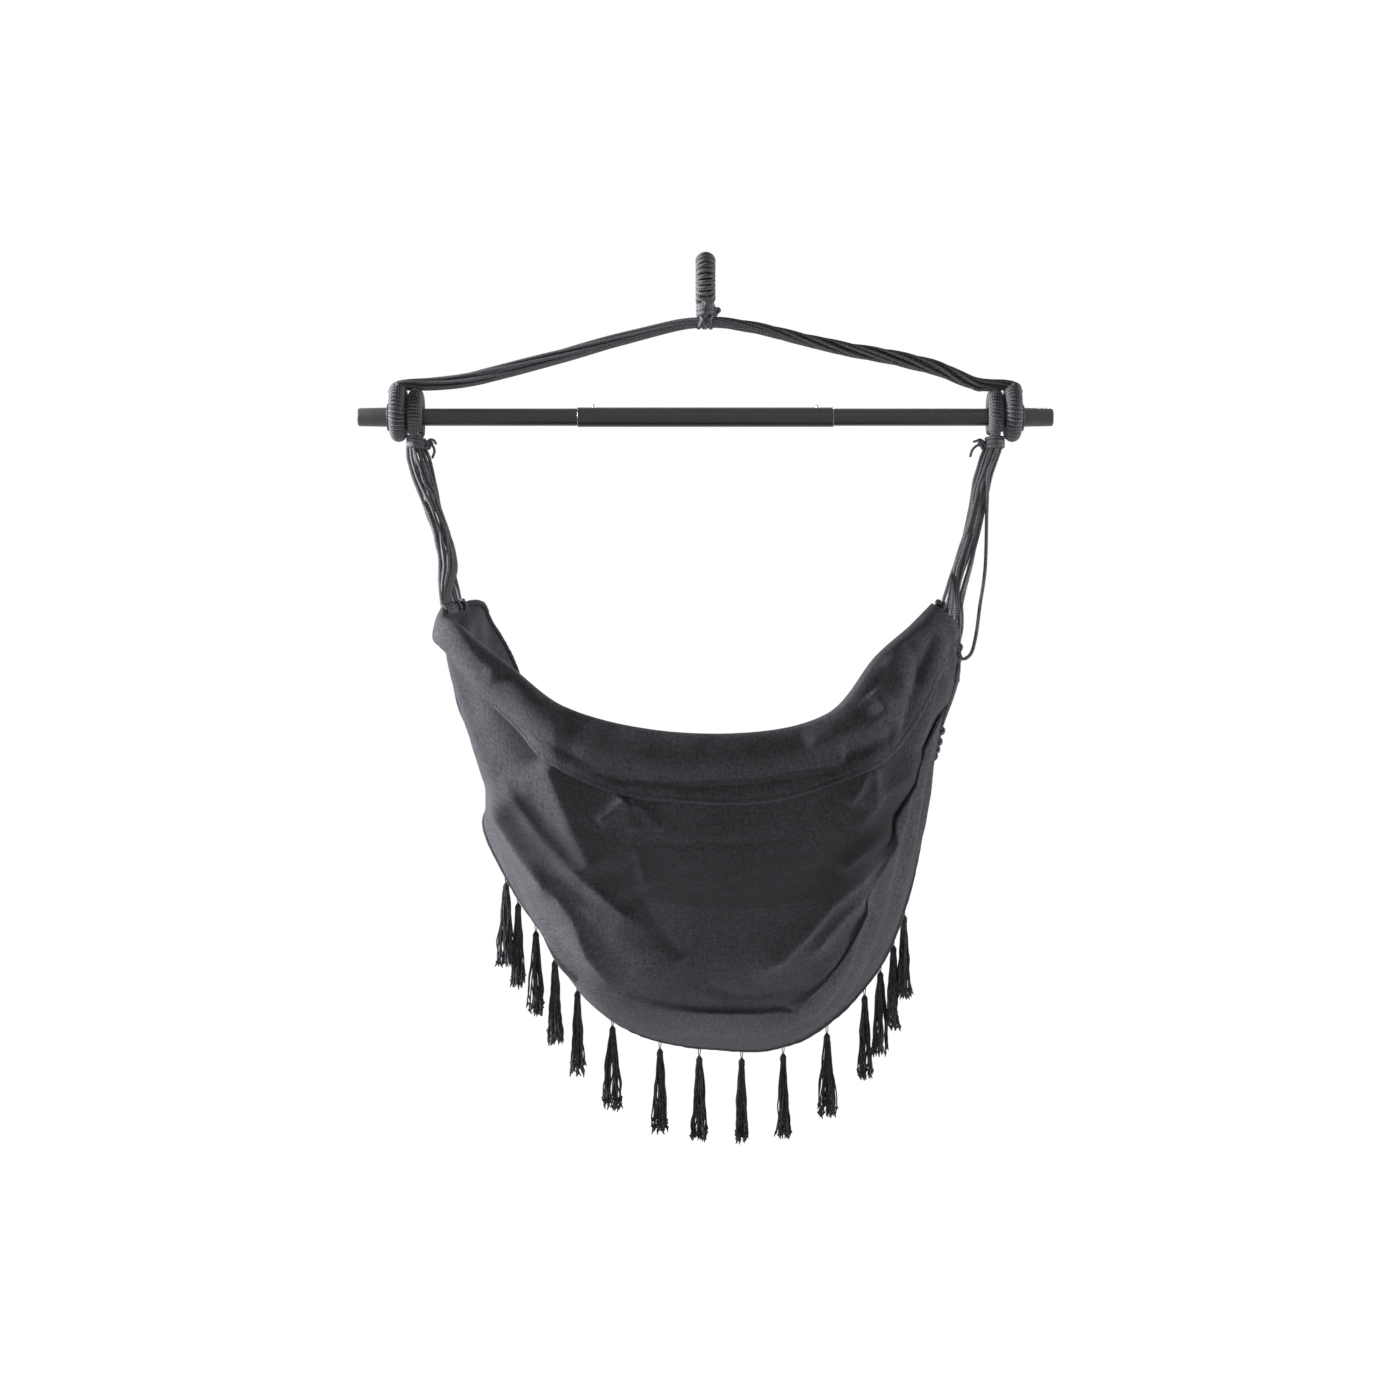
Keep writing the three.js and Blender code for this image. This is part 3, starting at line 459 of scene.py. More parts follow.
def along_way(path: np.ndarray) -> np.ndarray:
    """The direction of a path at each of its places."""
    return unit(np.gradient(path, axis=0))


def runs(path: np.ndarray) -> np.ndarray:
    """The length of a path up to each of its places."""
    return np.concatenate([[0], np.cumsum(np.linalg.norm(np.diff(path, axis=0), axis=1))])


def smooth_step(values: np.ndarray, low: float, high: float) -> np.ndarray:
    """Goes smoothly from 0 at low to 1 at high."""
    share = np.clip((values - low) / (high - low), 0, 1)
    return share * share * (3 - 2 * share)


def evened(values: np.ndarray, reach: int) -> np.ndarray:
    """The mean of each value and of the values within reach on either side of it."""
    width = 2 * reach + 1
    padded = np.pad(values, reach, mode="edge")
    return np.convolve(padded, np.ones(width) / width, mode="valid")


def catmull_rom(points: np.ndarray, shares: np.ndarray) -> np.ndarray:
    """Follows a centripetal Catmull-Rom curve.

    Args:
        points: control points, (count, 3), or (count, n, 3) with a curve for each share.
        shares: n places along the curves, from 0 to 1, shared out evenly among the points.

    Returns:
        The n places, (n, 3).
    """
    count, number = len(points), len(shares)
    if points.ndim == 2:
        points = np.broadcast_to(points[:, None], (count, number, 3))
    place = np.clip(shares, 0, 1) * (count - 1)
    first = np.minimum(place.astype(int), count - 2)
    weight = (place - first)[:, None]
    ends = [2 * points[:1] - points[1:2], points, 2 * points[-1:] - points[-2:-1]]
    longer = np.concatenate(ends)
    each = np.arange(number)
    near = [longer[first + step, each] for step in range(4)]
    gaps = [
        np.maximum(((near[step + 1] - near[step]) ** 2).sum(-1) ** 0.25, 1e-6)[:, None]
        for step in range(3)
    ]
    start, end = (
        (
            (near[step + 1] - near[step]) / gaps[step]
            - (near[step + 2] - near[step]) / (gaps[step] + gaps[step + 1])
            + (near[step + 2] - near[step + 1]) / gaps[step + 1]
        ) * gaps[1]
        for step in range(2)
    )
    square = -3 * near[1] + 3 * near[2] - 2 * start - end
    cube = 2 * near[1] - 2 * near[2] + start + end
    return near[1] + start * weight + square * weight**2 + cube * weight**3


def smooth_path(points: Sequence[Sequence[float]], count: int) -> np.ndarray:
    """A smooth path of evenly spaced places through a few points.

    Args:
        points: the points that the path passes.
        count: how many places it gets.

    Returns:
        The places, (count, 3).
    """
    dense = catmull_rom(np.array(points, float), np.linspace(0, 1, 20 * len(points)))
    run = runs(dense)
    even = np.linspace(0, run[-1], count)
    return np.stack([np.interp(even, run, dense[:, axis]) for axis in range(3)], axis=1)


def value_noise(points: np.ndarray, size: float, seed: int) -> np.ndarray:
    """Smooth repeatable noise between -1 and 1.

    Args:
        points: places, (n, 3).
        size: the width of one lump.
        seed: which noise.

    Returns:
        One value for each place.
    """
    scaled = points / size + seed * 17.31
    cell = np.floor(scaled).astype(np.int64)
    part = scaled - cell
    part = part * part * (3 - 2 * part)
    total = np.zeros(len(points))
    for corner in range(8):
        step = np.array([corner & 1, corner >> 1 & 1, corner >> 2 & 1])
        at = (cell + step).astype(np.uint64)
        mixed = at[:, 0] * np.uint64(73856093) ^ at[:, 1] * np.uint64(19349663)
        mixed = mixed ^ at[:, 2] * np.uint64(83492791)
        mixed = (mixed ^ (mixed >> np.uint64(13))) * np.uint64(1274126177)
        value = ((mixed >> np.uint64(8)) % np.uint64(20011)).astype(float) / 10005 - 1
        total += value * np.prod(np.where(step == 1, part, 1 - part), axis=1)
    return total


def linked(name: str, data: Any) -> bpy.types.Object:
    """Makes an object of some data and puts it in the scene."""
    made = bpy.data.objects.new(name, data)
    bpy.context.scene.collection.objects.link(made)
    return made


def worked(piece: bpy.types.Object) -> bpy.types.Mesh:
    """The mesh that an object's modifiers make."""
    graph = bpy.context.evaluated_depsgraph_get()
    return bpy.data.meshes.new_from_object(piece.evaluated_get(graph))


class Skin:
    """A mesh in the making: corners, faces, UV places and material slots."""

    def __init__(self) -> None:
        """Starts with nothing."""
        self.corners: list[np.ndarray] = []
        self.faces: list[np.ndarray] = []
        self.places: list[np.ndarray] = []
        self.slots: list[np.ndarray] = []
        self.base = self.count = 0

    def add(
        self, corners: np.ndarray | None, faces: np.ndarray, places: np.ndarray, slot: int = 0
    ) -> None:
        """Adds faces that all have the same number of corners.

        Args:
            corners: (n, 3) new corners, or None where the faces use the last ones.
            faces: (m, k) numbers of those corners.
            places: (m, k, 2) UV places.
            slot: the material slot.
        """
        if corners is not None:
            self.base = self.count
            self.corners.append(corners)
            self.count += len(corners)
        self.faces.append(faces + self.base)
        self.places.append(places)
        self.slots.append(np.full(len(faces), slot))

    def piece(self, name: str, *materials: bpy.types.Material) -> bpy.types.Object:
        """Makes the object.

        Args:
            name: its name.
            materials: its material slots, in order.

        Returns:
            The object, at the origin, with its faces pointing out.
        """
        corners = np.concatenate(self.corners)
        sizes = np.concatenate([np.full(len(faces), faces.shape[1]) for faces in self.faces])
        loops = np.concatenate([faces.ravel() for faces in self.faces])
        starts = np.concatenate([[0], np.cumsum(sizes)[:-1]])
        places = np.concatenate([places.reshape(-1, 2) for places in self.places])
        mesh = bpy.data.meshes.new(name)
        mesh.vertices.add(len(corners))
        mesh.vertices.foreach_set("co", corners.astype(np.float32).ravel())
        mesh.loops.add(len(loops))
        mesh.loops.foreach_set("vertex_index", loops.astype(np.int32))
        mesh.polygons.add(len(sizes))
        mesh.polygons.foreach_set("loop_start", starts.astype(np.int32))
        mesh.polygons.foreach_set("material_index", np.concatenate(self.slots).astype(np.int32))
        mesh.polygons.foreach_set("use_smooth", np.ones(len(sizes), bool))
        layer = mesh.uv_layers.new(name="UVMap")
        layer.data.foreach_set("uv", places.astype(np.float32).ravel())
        mesh.update(calc_edges=True)
        mesh.validate()
        for material in materials:
            mesh.materials.append(material)
        return linked(name, mesh)

    def _rings(
        self, rings: np.ndarray, run: np.ndarray, pitch: float, order: Sequence[int], slot: int,
        closed: bool = False,
    ) -> None:
        """Adds the walls between rings of corners.

        Args:
            rings: (count, sides, 3) corners.
            run: the length up to each ring.
            pitch: the UV width of one side.
            order: the order in which each wall's corners are taken.
            slot: the material slot.
            closed: whether the last ring is the first one again.
        """
        count, sides = rings.shape[:2]
        step, turn = np.indices((count - 1, sides)).reshape(2, -1)
        onward = (turn + 1) % sides
        after = (step + 1) % (count - 1) if closed else step + 1
        faces = np.stack(
            [step * sides + turn, step * sides + onward, after * sides + onward,
             after * sides + turn], axis=1,
        )
        share = np.stack([turn, turn + 1, turn + 1, turn], axis=1) * pitch
        length = run[np.stack([step, step, step + 1, step + 1], axis=1)]
        places = np.stack([share, length], axis=2)
        self.add(rings.reshape(-1, 3), faces[:, order], places[:, order], slot)

    def sweep(self, path: np.ndarray, radius: Any, sides: int) -> None:
        """Adds a round cord with domed ends along a path.

        Args:
            path: (n, 3) places of its middle.
            radius: one radius, or one for each place.
            sides: how many sides it has.
        """
        dome = 0.6  # how far an end stands out and how broad its tip is, in radii
        radii = np.broadcast_to(np.asarray(radius, float), (len(path),))
        along = along_way(path)
        first, last = (radii[end] * dome for end in (0, -1))
        path = np.concatenate(
            [[path[0] - along[0] * first], path, [path[-1] + along[-1] * last]]
        )
        radii = np.concatenate([[first], radii, [last]])
        along = np.concatenate([along[:1], along, along[-1:]])
        side = unit(np.cross(along[0], Z_WAY if abs(along[0][2]) < 0.9 else X_WAY))
        across = []
        for direction in along:
            side = unit(side - direction * side.dot(direction))
            across.append(side)
        across = np.array(across)
        rise = np.cross(along, across)
        angles = 2 * np.pi * np.arange(sides) / sides
        ring = (
            across[:, None] * np.cos(angles)[None, :, None]
            + rise[:, None] * np.sin(angles)[None, :, None]
        )
        rings = path[:, None] + ring * radii[:, None, None]
        self._rings(rings, runs(path), 1 / sides, (0, 1, 2, 3), 0)
        order = np.arange(sides)
        caps = np.stack([order[::-1], (len(path) - 1) * sides + order])
        flat = np.stack([np.cos(angles), np.sin(angles)], 1) * 0.1
        self.add(None, caps, np.stack([flat[::-1], flat]))

    def shell(self, outer: np.ndarray, inner: np.ndarray, places: np.ndarray) -> None:
        """Adds a closed layer between two grids of the same size.

        Args:
            outer: (rows, columns, 3) the surface that faces out, with rows running down
                and columns to the right as seen from outside.
            inner: the surface behind it.
            places: (rows, columns, 2) UV places.
        """
        rows, columns = outer.shape[:2]
        number = rows * columns
        grid = np.arange(number).reshape(rows, columns)
        quad = np.stack(
            [grid[:-1, :-1], grid[1:, :-1], grid[1:, 1:], grid[:-1, 1:]], axis=-1
        ).reshape(-1, 4)
        border = np.concatenate(
            [grid[0, :-1], grid[:-1, -1], grid[-1, :0:-1], grid[:0:-1, 0]]
        )
        following = np.roll(border, -1)
        rim = np.stack([border, following, following + number, border + number], axis=1)
        faces = np.concatenate([quad, quad[:, ::-1] + number, rim])
        flat = np.concatenate([places.reshape(-1, 2)] * 2)
        self.add(np.concatenate([outer, inner]).reshape(-1, 3), faces, flat[faces])

    def lathe(self, profile: Sequence[tuple[float, float]], sides: int, slot: int = 0) -> None:
        """Adds a turned shape round the X axis, from closed rings.

        Args:
            profile: (along, radius) pairs in order, from axis to axis or round a wall.
            sides: how many sides it has.
            slot: the material slot.
        """
        angles = 2 * np.pi * np.arange(sides) / sides
        rings = np.stack([
            np.stack([np.full(sides, along), radius * np.cos(angles), radius * np.sin(angles)], 1)
            for along, radius in profile
        ])
        pitch = 2 * np.pi * max(radius for _, radius in profile) / sides
        closed = np.allclose(profile[0], profile[-1])
        self._rings(rings, runs(profile), pitch, (0, 3, 2, 1), slot, closed)


def tidy(piece: bpy.types.Object, sharp: float | None = None) -> bpy.types.Object:
    """Merges doubled corners, turns faces outward and marks sharp edges.

    Args:
        piece: the object.
        sharp: the angle in degrees past which an edge stays sharp.

    Returns:
        The same object.
    """
    held = bmesh.new()
    held.from_mesh(piece.data)
    bmesh.ops.remove_doubles(held, verts=held.verts, dist=1e-6)
    bmesh.ops.dissolve_degenerate(held, edges=held.edges, dist=1e-7)
    bmesh.ops.recalc_face_normals(held, faces=held.faces)
    held.to_mesh(piece.data)
    held.free()
    if sharp is not None:
        piece.data.set_sharp_from_angle(angle=math.radians(sharp))
    return piece


def settle(piece: bpy.types.Object, body: str, slot: str, *nodes: str) -> bpy.types.Object:
    """Puts a piece on its body, in the place of its CAD nodes.

    Args:
        piece: the object.
        body: the body that it rides on.
        slot: not used.
        nodes: the CAD nodes that it stands for.

    Returns:
        The same object.
    """
    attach(piece, body)
    if nodes:
        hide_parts(*nodes)
    log.info("%s: %d faces on %s", piece.name, len(piece.data.polygons), body)
    return piece


# What is grown by nodes.


def start_group(name: str, rows: Sequence[tuple[str, str, Any]]) -> tuple[Any, Any]:
    """Starts a tree that grows a shape.

    Args:
        name: the tree's name.
        rows: each input's name, the kind of its socket and its first value, or None.

    Returns:
        The tree and the outputs of its group input.
    """
    tree = bpy.data.node_groups.new(name, "GeometryNodeTree")
    face = tree.interface
    for label, kind, value in rows:
        socket = face.new_socket(label, in_out="INPUT", socket_type=f"NodeSocket{kind}")
        if value is not None:
            socket.default_value = value
    face.new_socket("Geometry", in_out="OUTPUT", socket_type="NodeSocketGeometry")
    return tree, add_node(tree, "NodeGroupInput").outputs


def end_group(tree: Any, shape: Any, material: Any) -> None:
    """Makes a tree's instances real, smooths and dresses them, and puts them out.

    Args:
        tree: the node tree.
        shape: the node or output that holds what it has grown.
        material: the output that holds the material.
    """
    real = add_node(tree, "GeometryNodeRealizeInstances", {0: shape})
    smooth = add_node(tree, "GeometryNodeSetShadeSmooth", {0: real})
    inputs = {"Geometry": smooth, "Material": material}
    add_node(tree, "NodeGroupOutput", {0: add_node(tree, "GeometryNodeSetMaterial", inputs)})


def grow(tree: Any, mesh: bpy.types.Mesh, name: str, **values: Any) -> bpy.types.Object:
    """Grows a piece from a mesh.

    Args:
        tree: the node tree.
        mesh: the mesh that the tree is given.
        name: the piece's name.
        values: a value for each input, by its name with _ for a space.

    Returns:
        The piece, as a plain mesh.
    """
    sockets = {item.name: item.identifier for item in tree.interface.items_tree}
    carrier = linked("carrier", mesh)
    modifier = carrier.modifiers.new("grow", "NODES")
    modifier.node_group = tree
    for label, value in values.items():
        modifier[sockets[label.replace("_", " ")]] = value
    bpy.context.view_layer.update()
    made = worked(carrier)
    bpy.data.objects.remove(carrier)
    return linked(name, made)


# The camera, the light and the floor.


@dataclass
class Studio:
    """The camera, lamps, floor and white backdrop."""

    image_width: float = 1400
    lens: float = 75.05
    sensor: float = 36.0
    camera_at: tuple[float, float, float] = (-0.0079, -4.2, -0.620)
    floor_z: float = -2.2
    floor_reach: float = 30.0
    floor_glow: float = 1.12
    floor_share: float = 0.9
    ambient: float = 0.045
    # Each lamp's name, place, watts and width.
    lamps: tuple = (
        ("key", (-3.9, 0.15, 0.7), 290.0, 0.8), ("right", (3.8, 0.3, 0.1), 62.0, 0.8),
        ("fill", (0.6, -3.4, 1.6), 5.0, 1.2), ("back", (1.6, 3.6, 1.2), 110.0, 1.2),
    )

    def pixels(self, points: np.ndarray) -> np.ndarray:
        """Where places show in the photograph's pixels.

        Args:
            points: (n, 3) places.

        Returns:
            (n, 2) pixels, across and down.
        """
        scale = self.image_width * self.lens / self.sensor
        depth = points[:, 1] - self.camera_at[1]
        middle = self.image_width / 2
        across = middle + scale * (points[:, 0] - self.camera_at[0]) / depth
        down = middle - scale * (points[:, 2] - self.camera_at[2]) / depth
        return np.stack([across, down], axis=1)

    def place(self, across: float, down: float, away: float) -> np.ndarray:
        """The place that shows at a pixel of the photograph.

        Args:
            across: pixels from the left.
            down: pixels from the top.
            away: the place's Y.

        Returns:
            The place.
        """
        scale = self.image_width * self.lens / self.sensor / (away - self.camera_at[1])
        middle = self.image_width / 2
        return np.array([
            self.camera_at[0] + (across - middle) / scale, away,
            self.camera_at[2] - (down - middle) / scale,
        ])

    def build(self) -> None:
        """Makes the camera, the lamps, the world and the floor."""
        scene = bpy.context.scene
        scene.view_settings.view_transform = "Standard"
        data = bpy.data.cameras.new("camera")
        data.lens = self.lens
        data.sensor_width = self.sensor
        scene.camera = linked("camera", data)
        scene.camera.location = self.camera_at
        scene.camera.rotation_euler = (math.pi / 2, 0, 0)
        for lamp in self.lamps:
            self._lamp(*lamp)
        self._world(scene)
        self._floor()

    def _lamp(self, name: str, at: tuple[float, float, float], power: float, size: float) -> None:
        """Adds a soft square lamp that faces the chair.

        Args:
            name: its name.
            at: its place.
            power: its watts.
            size: its width.
        """
        data = bpy.data.lights.new(name, "AREA")
        data.energy = power
        data.size = size
        lamp = linked(name, data)
        lamp.location = at
        aim = np.array([0, 0, self.camera_at[2]]) - np.array(at)
        tilt = math.atan2(math.hypot(aim[0], aim[1]), -aim[2])
        lamp.rotation_euler = (tilt, 0, math.atan2(aim[1], aim[0]) - math.pi / 2)

    def _seen(self, tree: Any) -> tuple[Any, Any]:
        """Adds the test for what the camera sees, itself or as a reflection.

        Args:
            tree: the node tree.

        Returns:
            The test's node and the outputs of the light path.
        """
        path = add_node(tree, "ShaderNodeLightPath").outputs
        rays = {0: path["Is Camera Ray"], 1: path["Is Glossy Ray"]}
        return add_node(tree, "ShaderNodeMath", rays, operation="MAXIMUM"), path

    def _world(self, scene: bpy.types.Scene) -> None:
        """Lights all round, and shows plain white to the camera and to reflections."""
        world = bpy.data.worlds.new("white_studio")
        world.use_nodes = True
        tree = world.node_tree
        tree.nodes.clear()
        seen, path = self._seen(tree)
        rays = {0: seen, 1: path["Is Transmission Ray"]}
        shown = add_node(tree, "ShaderNodeMath", rays, operation="MAXIMUM")
        levels = {0: shown, "To Min": self.ambient, "To Max": 1.0}
        strength = add_node(tree, "ShaderNodeMapRange", levels)
        back = add_node(tree, "ShaderNodeBackground", {0: (1, 1, 1, 1), 1: strength})
        add_node(tree, "ShaderNodeOutputWorld", {0: back})
        scene.world = world

    def _floor(self) -> None:
        """Adds the pale floor, which shows white with a soft shadow."""
        material, tree, shader = blank_material("pale_floor")
        connect(tree, shader, {"Base Color": linear("#cfcfcf"), "Roughness": 0.9})
        glow = add_node(tree, "ShaderNodeEmission", {0: (1, 1, 1, 1), 1: self.floor_glow})
        share = {0: self._seen(tree)[0], 1: self.floor_share}
        share = add_node(tree, "ShaderNodeMath", share, operation="MULTIPLY")
        mixed = add_node(tree, "ShaderNodeMixShader", {0: share, 1: shader, 2: glow})
        output = next(node for node in tree.nodes if node.type == "OUTPUT_MATERIAL")
        connect(tree, output, {0: mixed})
        mesh = bpy.data.meshes.new("floor")
        ways = ((-1, -1), (1, -1), (1, 1), (-1, 1))
        corners = [
            (x * self.floor_reach, y * self.floor_reach, self.floor_z) for x, y in ways
        ]
        mesh.from_pydata(corners, [], [(0, 1, 2, 3)])
        mesh.materials.append(material)
        linked("floor", mesh)


# Ropes of the harness.


@dataclass
class Winding:
    """Cord wound closely round a core."""

    cord_radius: float = 3.3 * MM
    least_radius: float = 1.2 * MM
    pressed_share: float = 0.28  # how much broader a turn gets where it's pressed flat
    crowded_share: float = 0.54  # the radius of turns that touch, as a share of their pitch
    steps_per_turn: int = 20
    sides: int = 10

    def wind(
        self, skin: Skin, middle: np.ndarray, across: Any, beside: Any, turns: int,
        reach: tuple[float, float], start: float = 0.0, thin: float = 1.0,
    ) -> None:
        """Adds the wound cord, thinner where its turns crowd.

        Args:
            skin: the mesh to which it is added.
            middle: (n, 3) places along the core.
            across: a direction across the core, or one for each place.
            beside: the same, square to the others.
            turns: how many turns the cord makes.
            reach: the core's half widths across and beside.
            start: the angle at which the cord starts.
            thin: a factor on the cord's radius.
        """
        lag = self.steps_per_turn
        share = np.linspace(0, 1, turns * lag + 1)
        old = np.linspace(0, 1, len(middle))
        blocks = (np.broadcast_to(block, middle.shape) for block in (middle, across, beside))
        core, one, other = (
            np.stack([np.interp(share, old, block[:, axis]) for axis in range(3)], 1)
            for block in blocks
        )
        angle = start + 2 * np.pi * turns * share
        cos, sin = np.cos(angle)[:, None], np.sin(angle)[:, None]
        radii = np.full(len(share), self.cord_radius)
        for _ in range(2):
            pressed = radii[:, None] * (1 - self.pressed_share)
            path = core + one * cos * (reach[0] + pressed) + other * sin * (reach[1] + pressed)
            pitch = np.linalg.norm(path[lag:] - path[:-lag], axis=1)
            pitch = np.concatenate([pitch[: lag // 2], pitch, pitch[-(lag - lag // 2):]])
            radii = np.clip(self.crowded_share * pitch, self.least_radius, self.cord_radius)
        skin.sweep(path, radii * (1 + self.pressed_share) * thin, self.sides)


@dataclass
class Harness:
    """The hanging loop, the two rope bundles and the four served eyes."""

    finishes: Wardrobe
    winding: Winding = field(default_factory=Winding)
    loop_core_radius: float = 6 * MM
    loop_wide: float = 31.1 * MM
    loop_crown: float = 12.1 * MM
    loop_bottom: float = -69 * MM
    loop_leg_top: float = -50.1 * MM
    loop_half_leg: float = 8 * MM
    loop_turns: int = 24
    loop_padding: float = 2.0 * MM
    seizing_z: float = -74.6 * MM
    seizing_half: float = 8 * MM
    seizing_reach: float = 6.6 * MM
    eye_core_radius: float = 6.2 * MM
    eye_padding: float = 0.4 * MM
    eye_turns: int = 35
    harness_eye_x: float = 441.65 * MM
    harness_eye_z: float = 7.2 * MM
    harness_eye_radius: float = 32.3 * MM
    throat_top: float = -26 * MM
    throat_bottom: float = -47 * MM
    throat_width: float = 21 * MM
    throat_depth: float = 34 * MM
    # Half of the seat eye's middle in millimetres, from the throat over the bar: how far
    # from the bar's middle towards the knees, and how far above it.
    seat_eye_half: tuple = (
        (7, -48), (8, -38), (11.5, -29.5), (19, -20.5), (25, -9), (27.4, 4), (22.5, 20),
        (11.5, 29.5), (0, 32),
    )
    bundle_inner: int = 4
    bundle_outer: int = 8
    inner_ring: float = 3.4 * MM
    outer_ring: float = 8.6 * MM
    bundle_cord_radius: float = 2.55 * MM
    # The middle of each bundle in millimetres, from the loop out to its eye.
    left_way: tuple = (
        (6, 0.6, -76.6), (-9, 0.6, -76.6), (-37, 0.5, -79.5), (-123, 1, -101),
        (-209, 0, -125.5), (-296, -1, -149), (-350, 0, -161), (-396, 2, -165.6),
        (-432, 0, -167), (-445, -1, -170), (-450, -2, -179),
    )
    right_way: tuple = (
        (-6, 0.6, -76.6), (9, 0.6, -76.6), (26, 1, -77.5), (78, 0, -86), (142, 2, -101.5),
        (206, 0, -116), (268, -2, -127), (334, 1, -143), (392, 0, -165.3), (432, 0, -167),
        (445, -1, -170), (450, -2, -179),
    )
    # How full each bundle is on its way out, from the loop at 0 to the eye at 1.
    fullness: tuple = ((0, 0.1, 0.4, 0.72, 0.86, 1), (0.62, 0.68, 0.86, 1, 0.82, 0.6))
    # The two loose ends of each tail in millimetres from its knot: inward, away and up.
    left_ends: tuple = (
        ((2, 0, 2), (7, -1, -3), (9, -2, -10), (6, -2, -19)),
        ((-2, 0, 4), (3, -1, 7), (8, -1, 6), (11, -1, 1)),
    )
    right_ends: tuple = (
        ((2, 0, 0), (9, -1, -2), (15, -2, -8), (18, -2, -17)),
        ((-2, 0, 4), (4, -1, 7), (9, -2, 5), (13, -2, 4)),
    )

    def build(self) -> None:
        """Makes every rope of the harness."""
        self._hanging_loop()
        for side in Side:
            self._bundle(side)
            self._harness_eye(side)
            self._seat_eye(side)

    def _rope(self, skin: Skin, name: str, body: str, node: str) -> None:
        """Settles a piece of rope.

        Args:
            skin: its mesh.
            name: its name.
            body: the body that it rides on.
            node: the CAD node that it stands for.
        """
        settle(skin.piece(name, self.finishes.cord), body, "rope", node)

    def _wrap(self, skin: Skin, name: str, body: str, node: str) -> None:
        """Settles a piece of wound cord, with the same arguments as a rope."""
        settle(skin.piece(name, self.finishes.wrap), body, "wrap_cord", node)

    def _outward(self, middle: np.ndarray) -> np.ndarray:
        """Directions that leave a loop or an eye, square to its middle and to the bar."""
        return unit(np.cross(along_way(middle), X_WAY))

    def _twisted(
        self, middle: np.ndarray, out: np.ndarray, turns: float, lay: float, radius: float,
        sides: int,
    ) -> Skin:
        """Three cords twisted together.

        Args:
            middle: the middle of the rope.
            out: directions across it.
            turns: how many half turns the cords make.
            lay: how far each lies from the middle.
            radius: each cord's radius.
            sides: how many sides each has.

        Returns:
            The rope.
        """
        skin = Skin()
        for place in range(3):
            twist = 2 * math.pi * place / 3 + np.linspace(0, turns * math.pi, len(middle))
            shift = out * np.cos(twist)[:, None] + X_WAY * np.sin(twist)[:, None]
            skin.sweep(middle + shift * lay, radius, sides)
        return skin

    def _loop_midline(self) -> np.ndarray:
        """The hanging loop's middle, from one leg over the crown to the other."""
        half = [(self.loop_half_leg, self.loop_bottom), (self.loop_half_leg, self.loop_leg_top)]
        for degrees in (125, 90, 60, 30):
            angle = math.radians(degrees)
            rise = self.loop_crown - self.loop_wide + self.loop_wide * math.cos(angle)
            half.append((self.loop_wide * math.sin(angle), rise))
        points = [(0, -across, height) for across, height in half]
        points += [(0, 0, self.loop_crown)]
        points += [(0, across, height) for across, height in reversed(half)]
        return smooth_path(points, 160)

    def _hanging_loop(self) -> None:
        """The loop's core, its close serving and the lashing at its throat."""
        middle = self._loop_midline()
        across = -self._outward(middle)
        core = self._twisted(middle, across, 5, 3.0 * MM, 2.9 * MM, 12)
        self._rope(core, "loop_core_cords", "hanging_loop", "hanging_loop_core")
        served = slice(int(0.14 * len(middle)), int(0.86 * len(middle)))
        reach = self.loop_core_radius + self.loop_padding
        serving = Skin()
        self.winding.wind(
            serving, middle[served], across[served], X_WAY, self.loop_turns, (reach, reach)
        )
        self._wrap(serving, "loop_serving", "hanging_loop", "hanging_loop_serving")
        low, high = self.loop_bottom + 2.6 * MM, self.loop_bottom + 19 * MM
        reach = self.loop_core_radius
        lashing = Skin()
        self.winding.wind(
            lashing, np.linspace((0, 0, low), (0, 0, high), 60), Y_WAY, (1.0, 0, 0.22), 3,
            (self.loop_half_leg + reach + 0.8 * MM, reach + 2.2 * MM), 0.6,
        )
        knot = self._overhand((14.5 * MM, -4 * MM, self.loop_bottom + 8 * MM), 2.1 * MM, 0.4)
        lashing.sweep(knot, 2.2 * MM, 10)
        self._wrap(lashing, "loop_lashing", "hanging_loop", "hanging_loop_lashing")

    def _overhand(self, at: Sequence[float], size: float, turn: float) -> np.ndarray:
        """A cord tied in an overhand knot, with two short ends.

        Args:
            at: the knot's middle.
            size: a third of its radius.
            turn: how far it is turned about the upright.

        Returns:
            The cord's path.
        """
        angle = np.linspace(0.25, 2 * math.pi - 0.25, 60)
        flat = np.sin(angle) + 2 * np.sin(2 * angle)
        tall = np.cos(angle) - 2 * np.cos(2 * angle)
        deep = -np.sin(3 * angle)
        cos, sin = math.cos(turn), math.sin(turn)
        path = np.stack([flat * cos - deep * sin, flat * sin + deep * cos, tall], 1)
        return path * size + np.array(at)

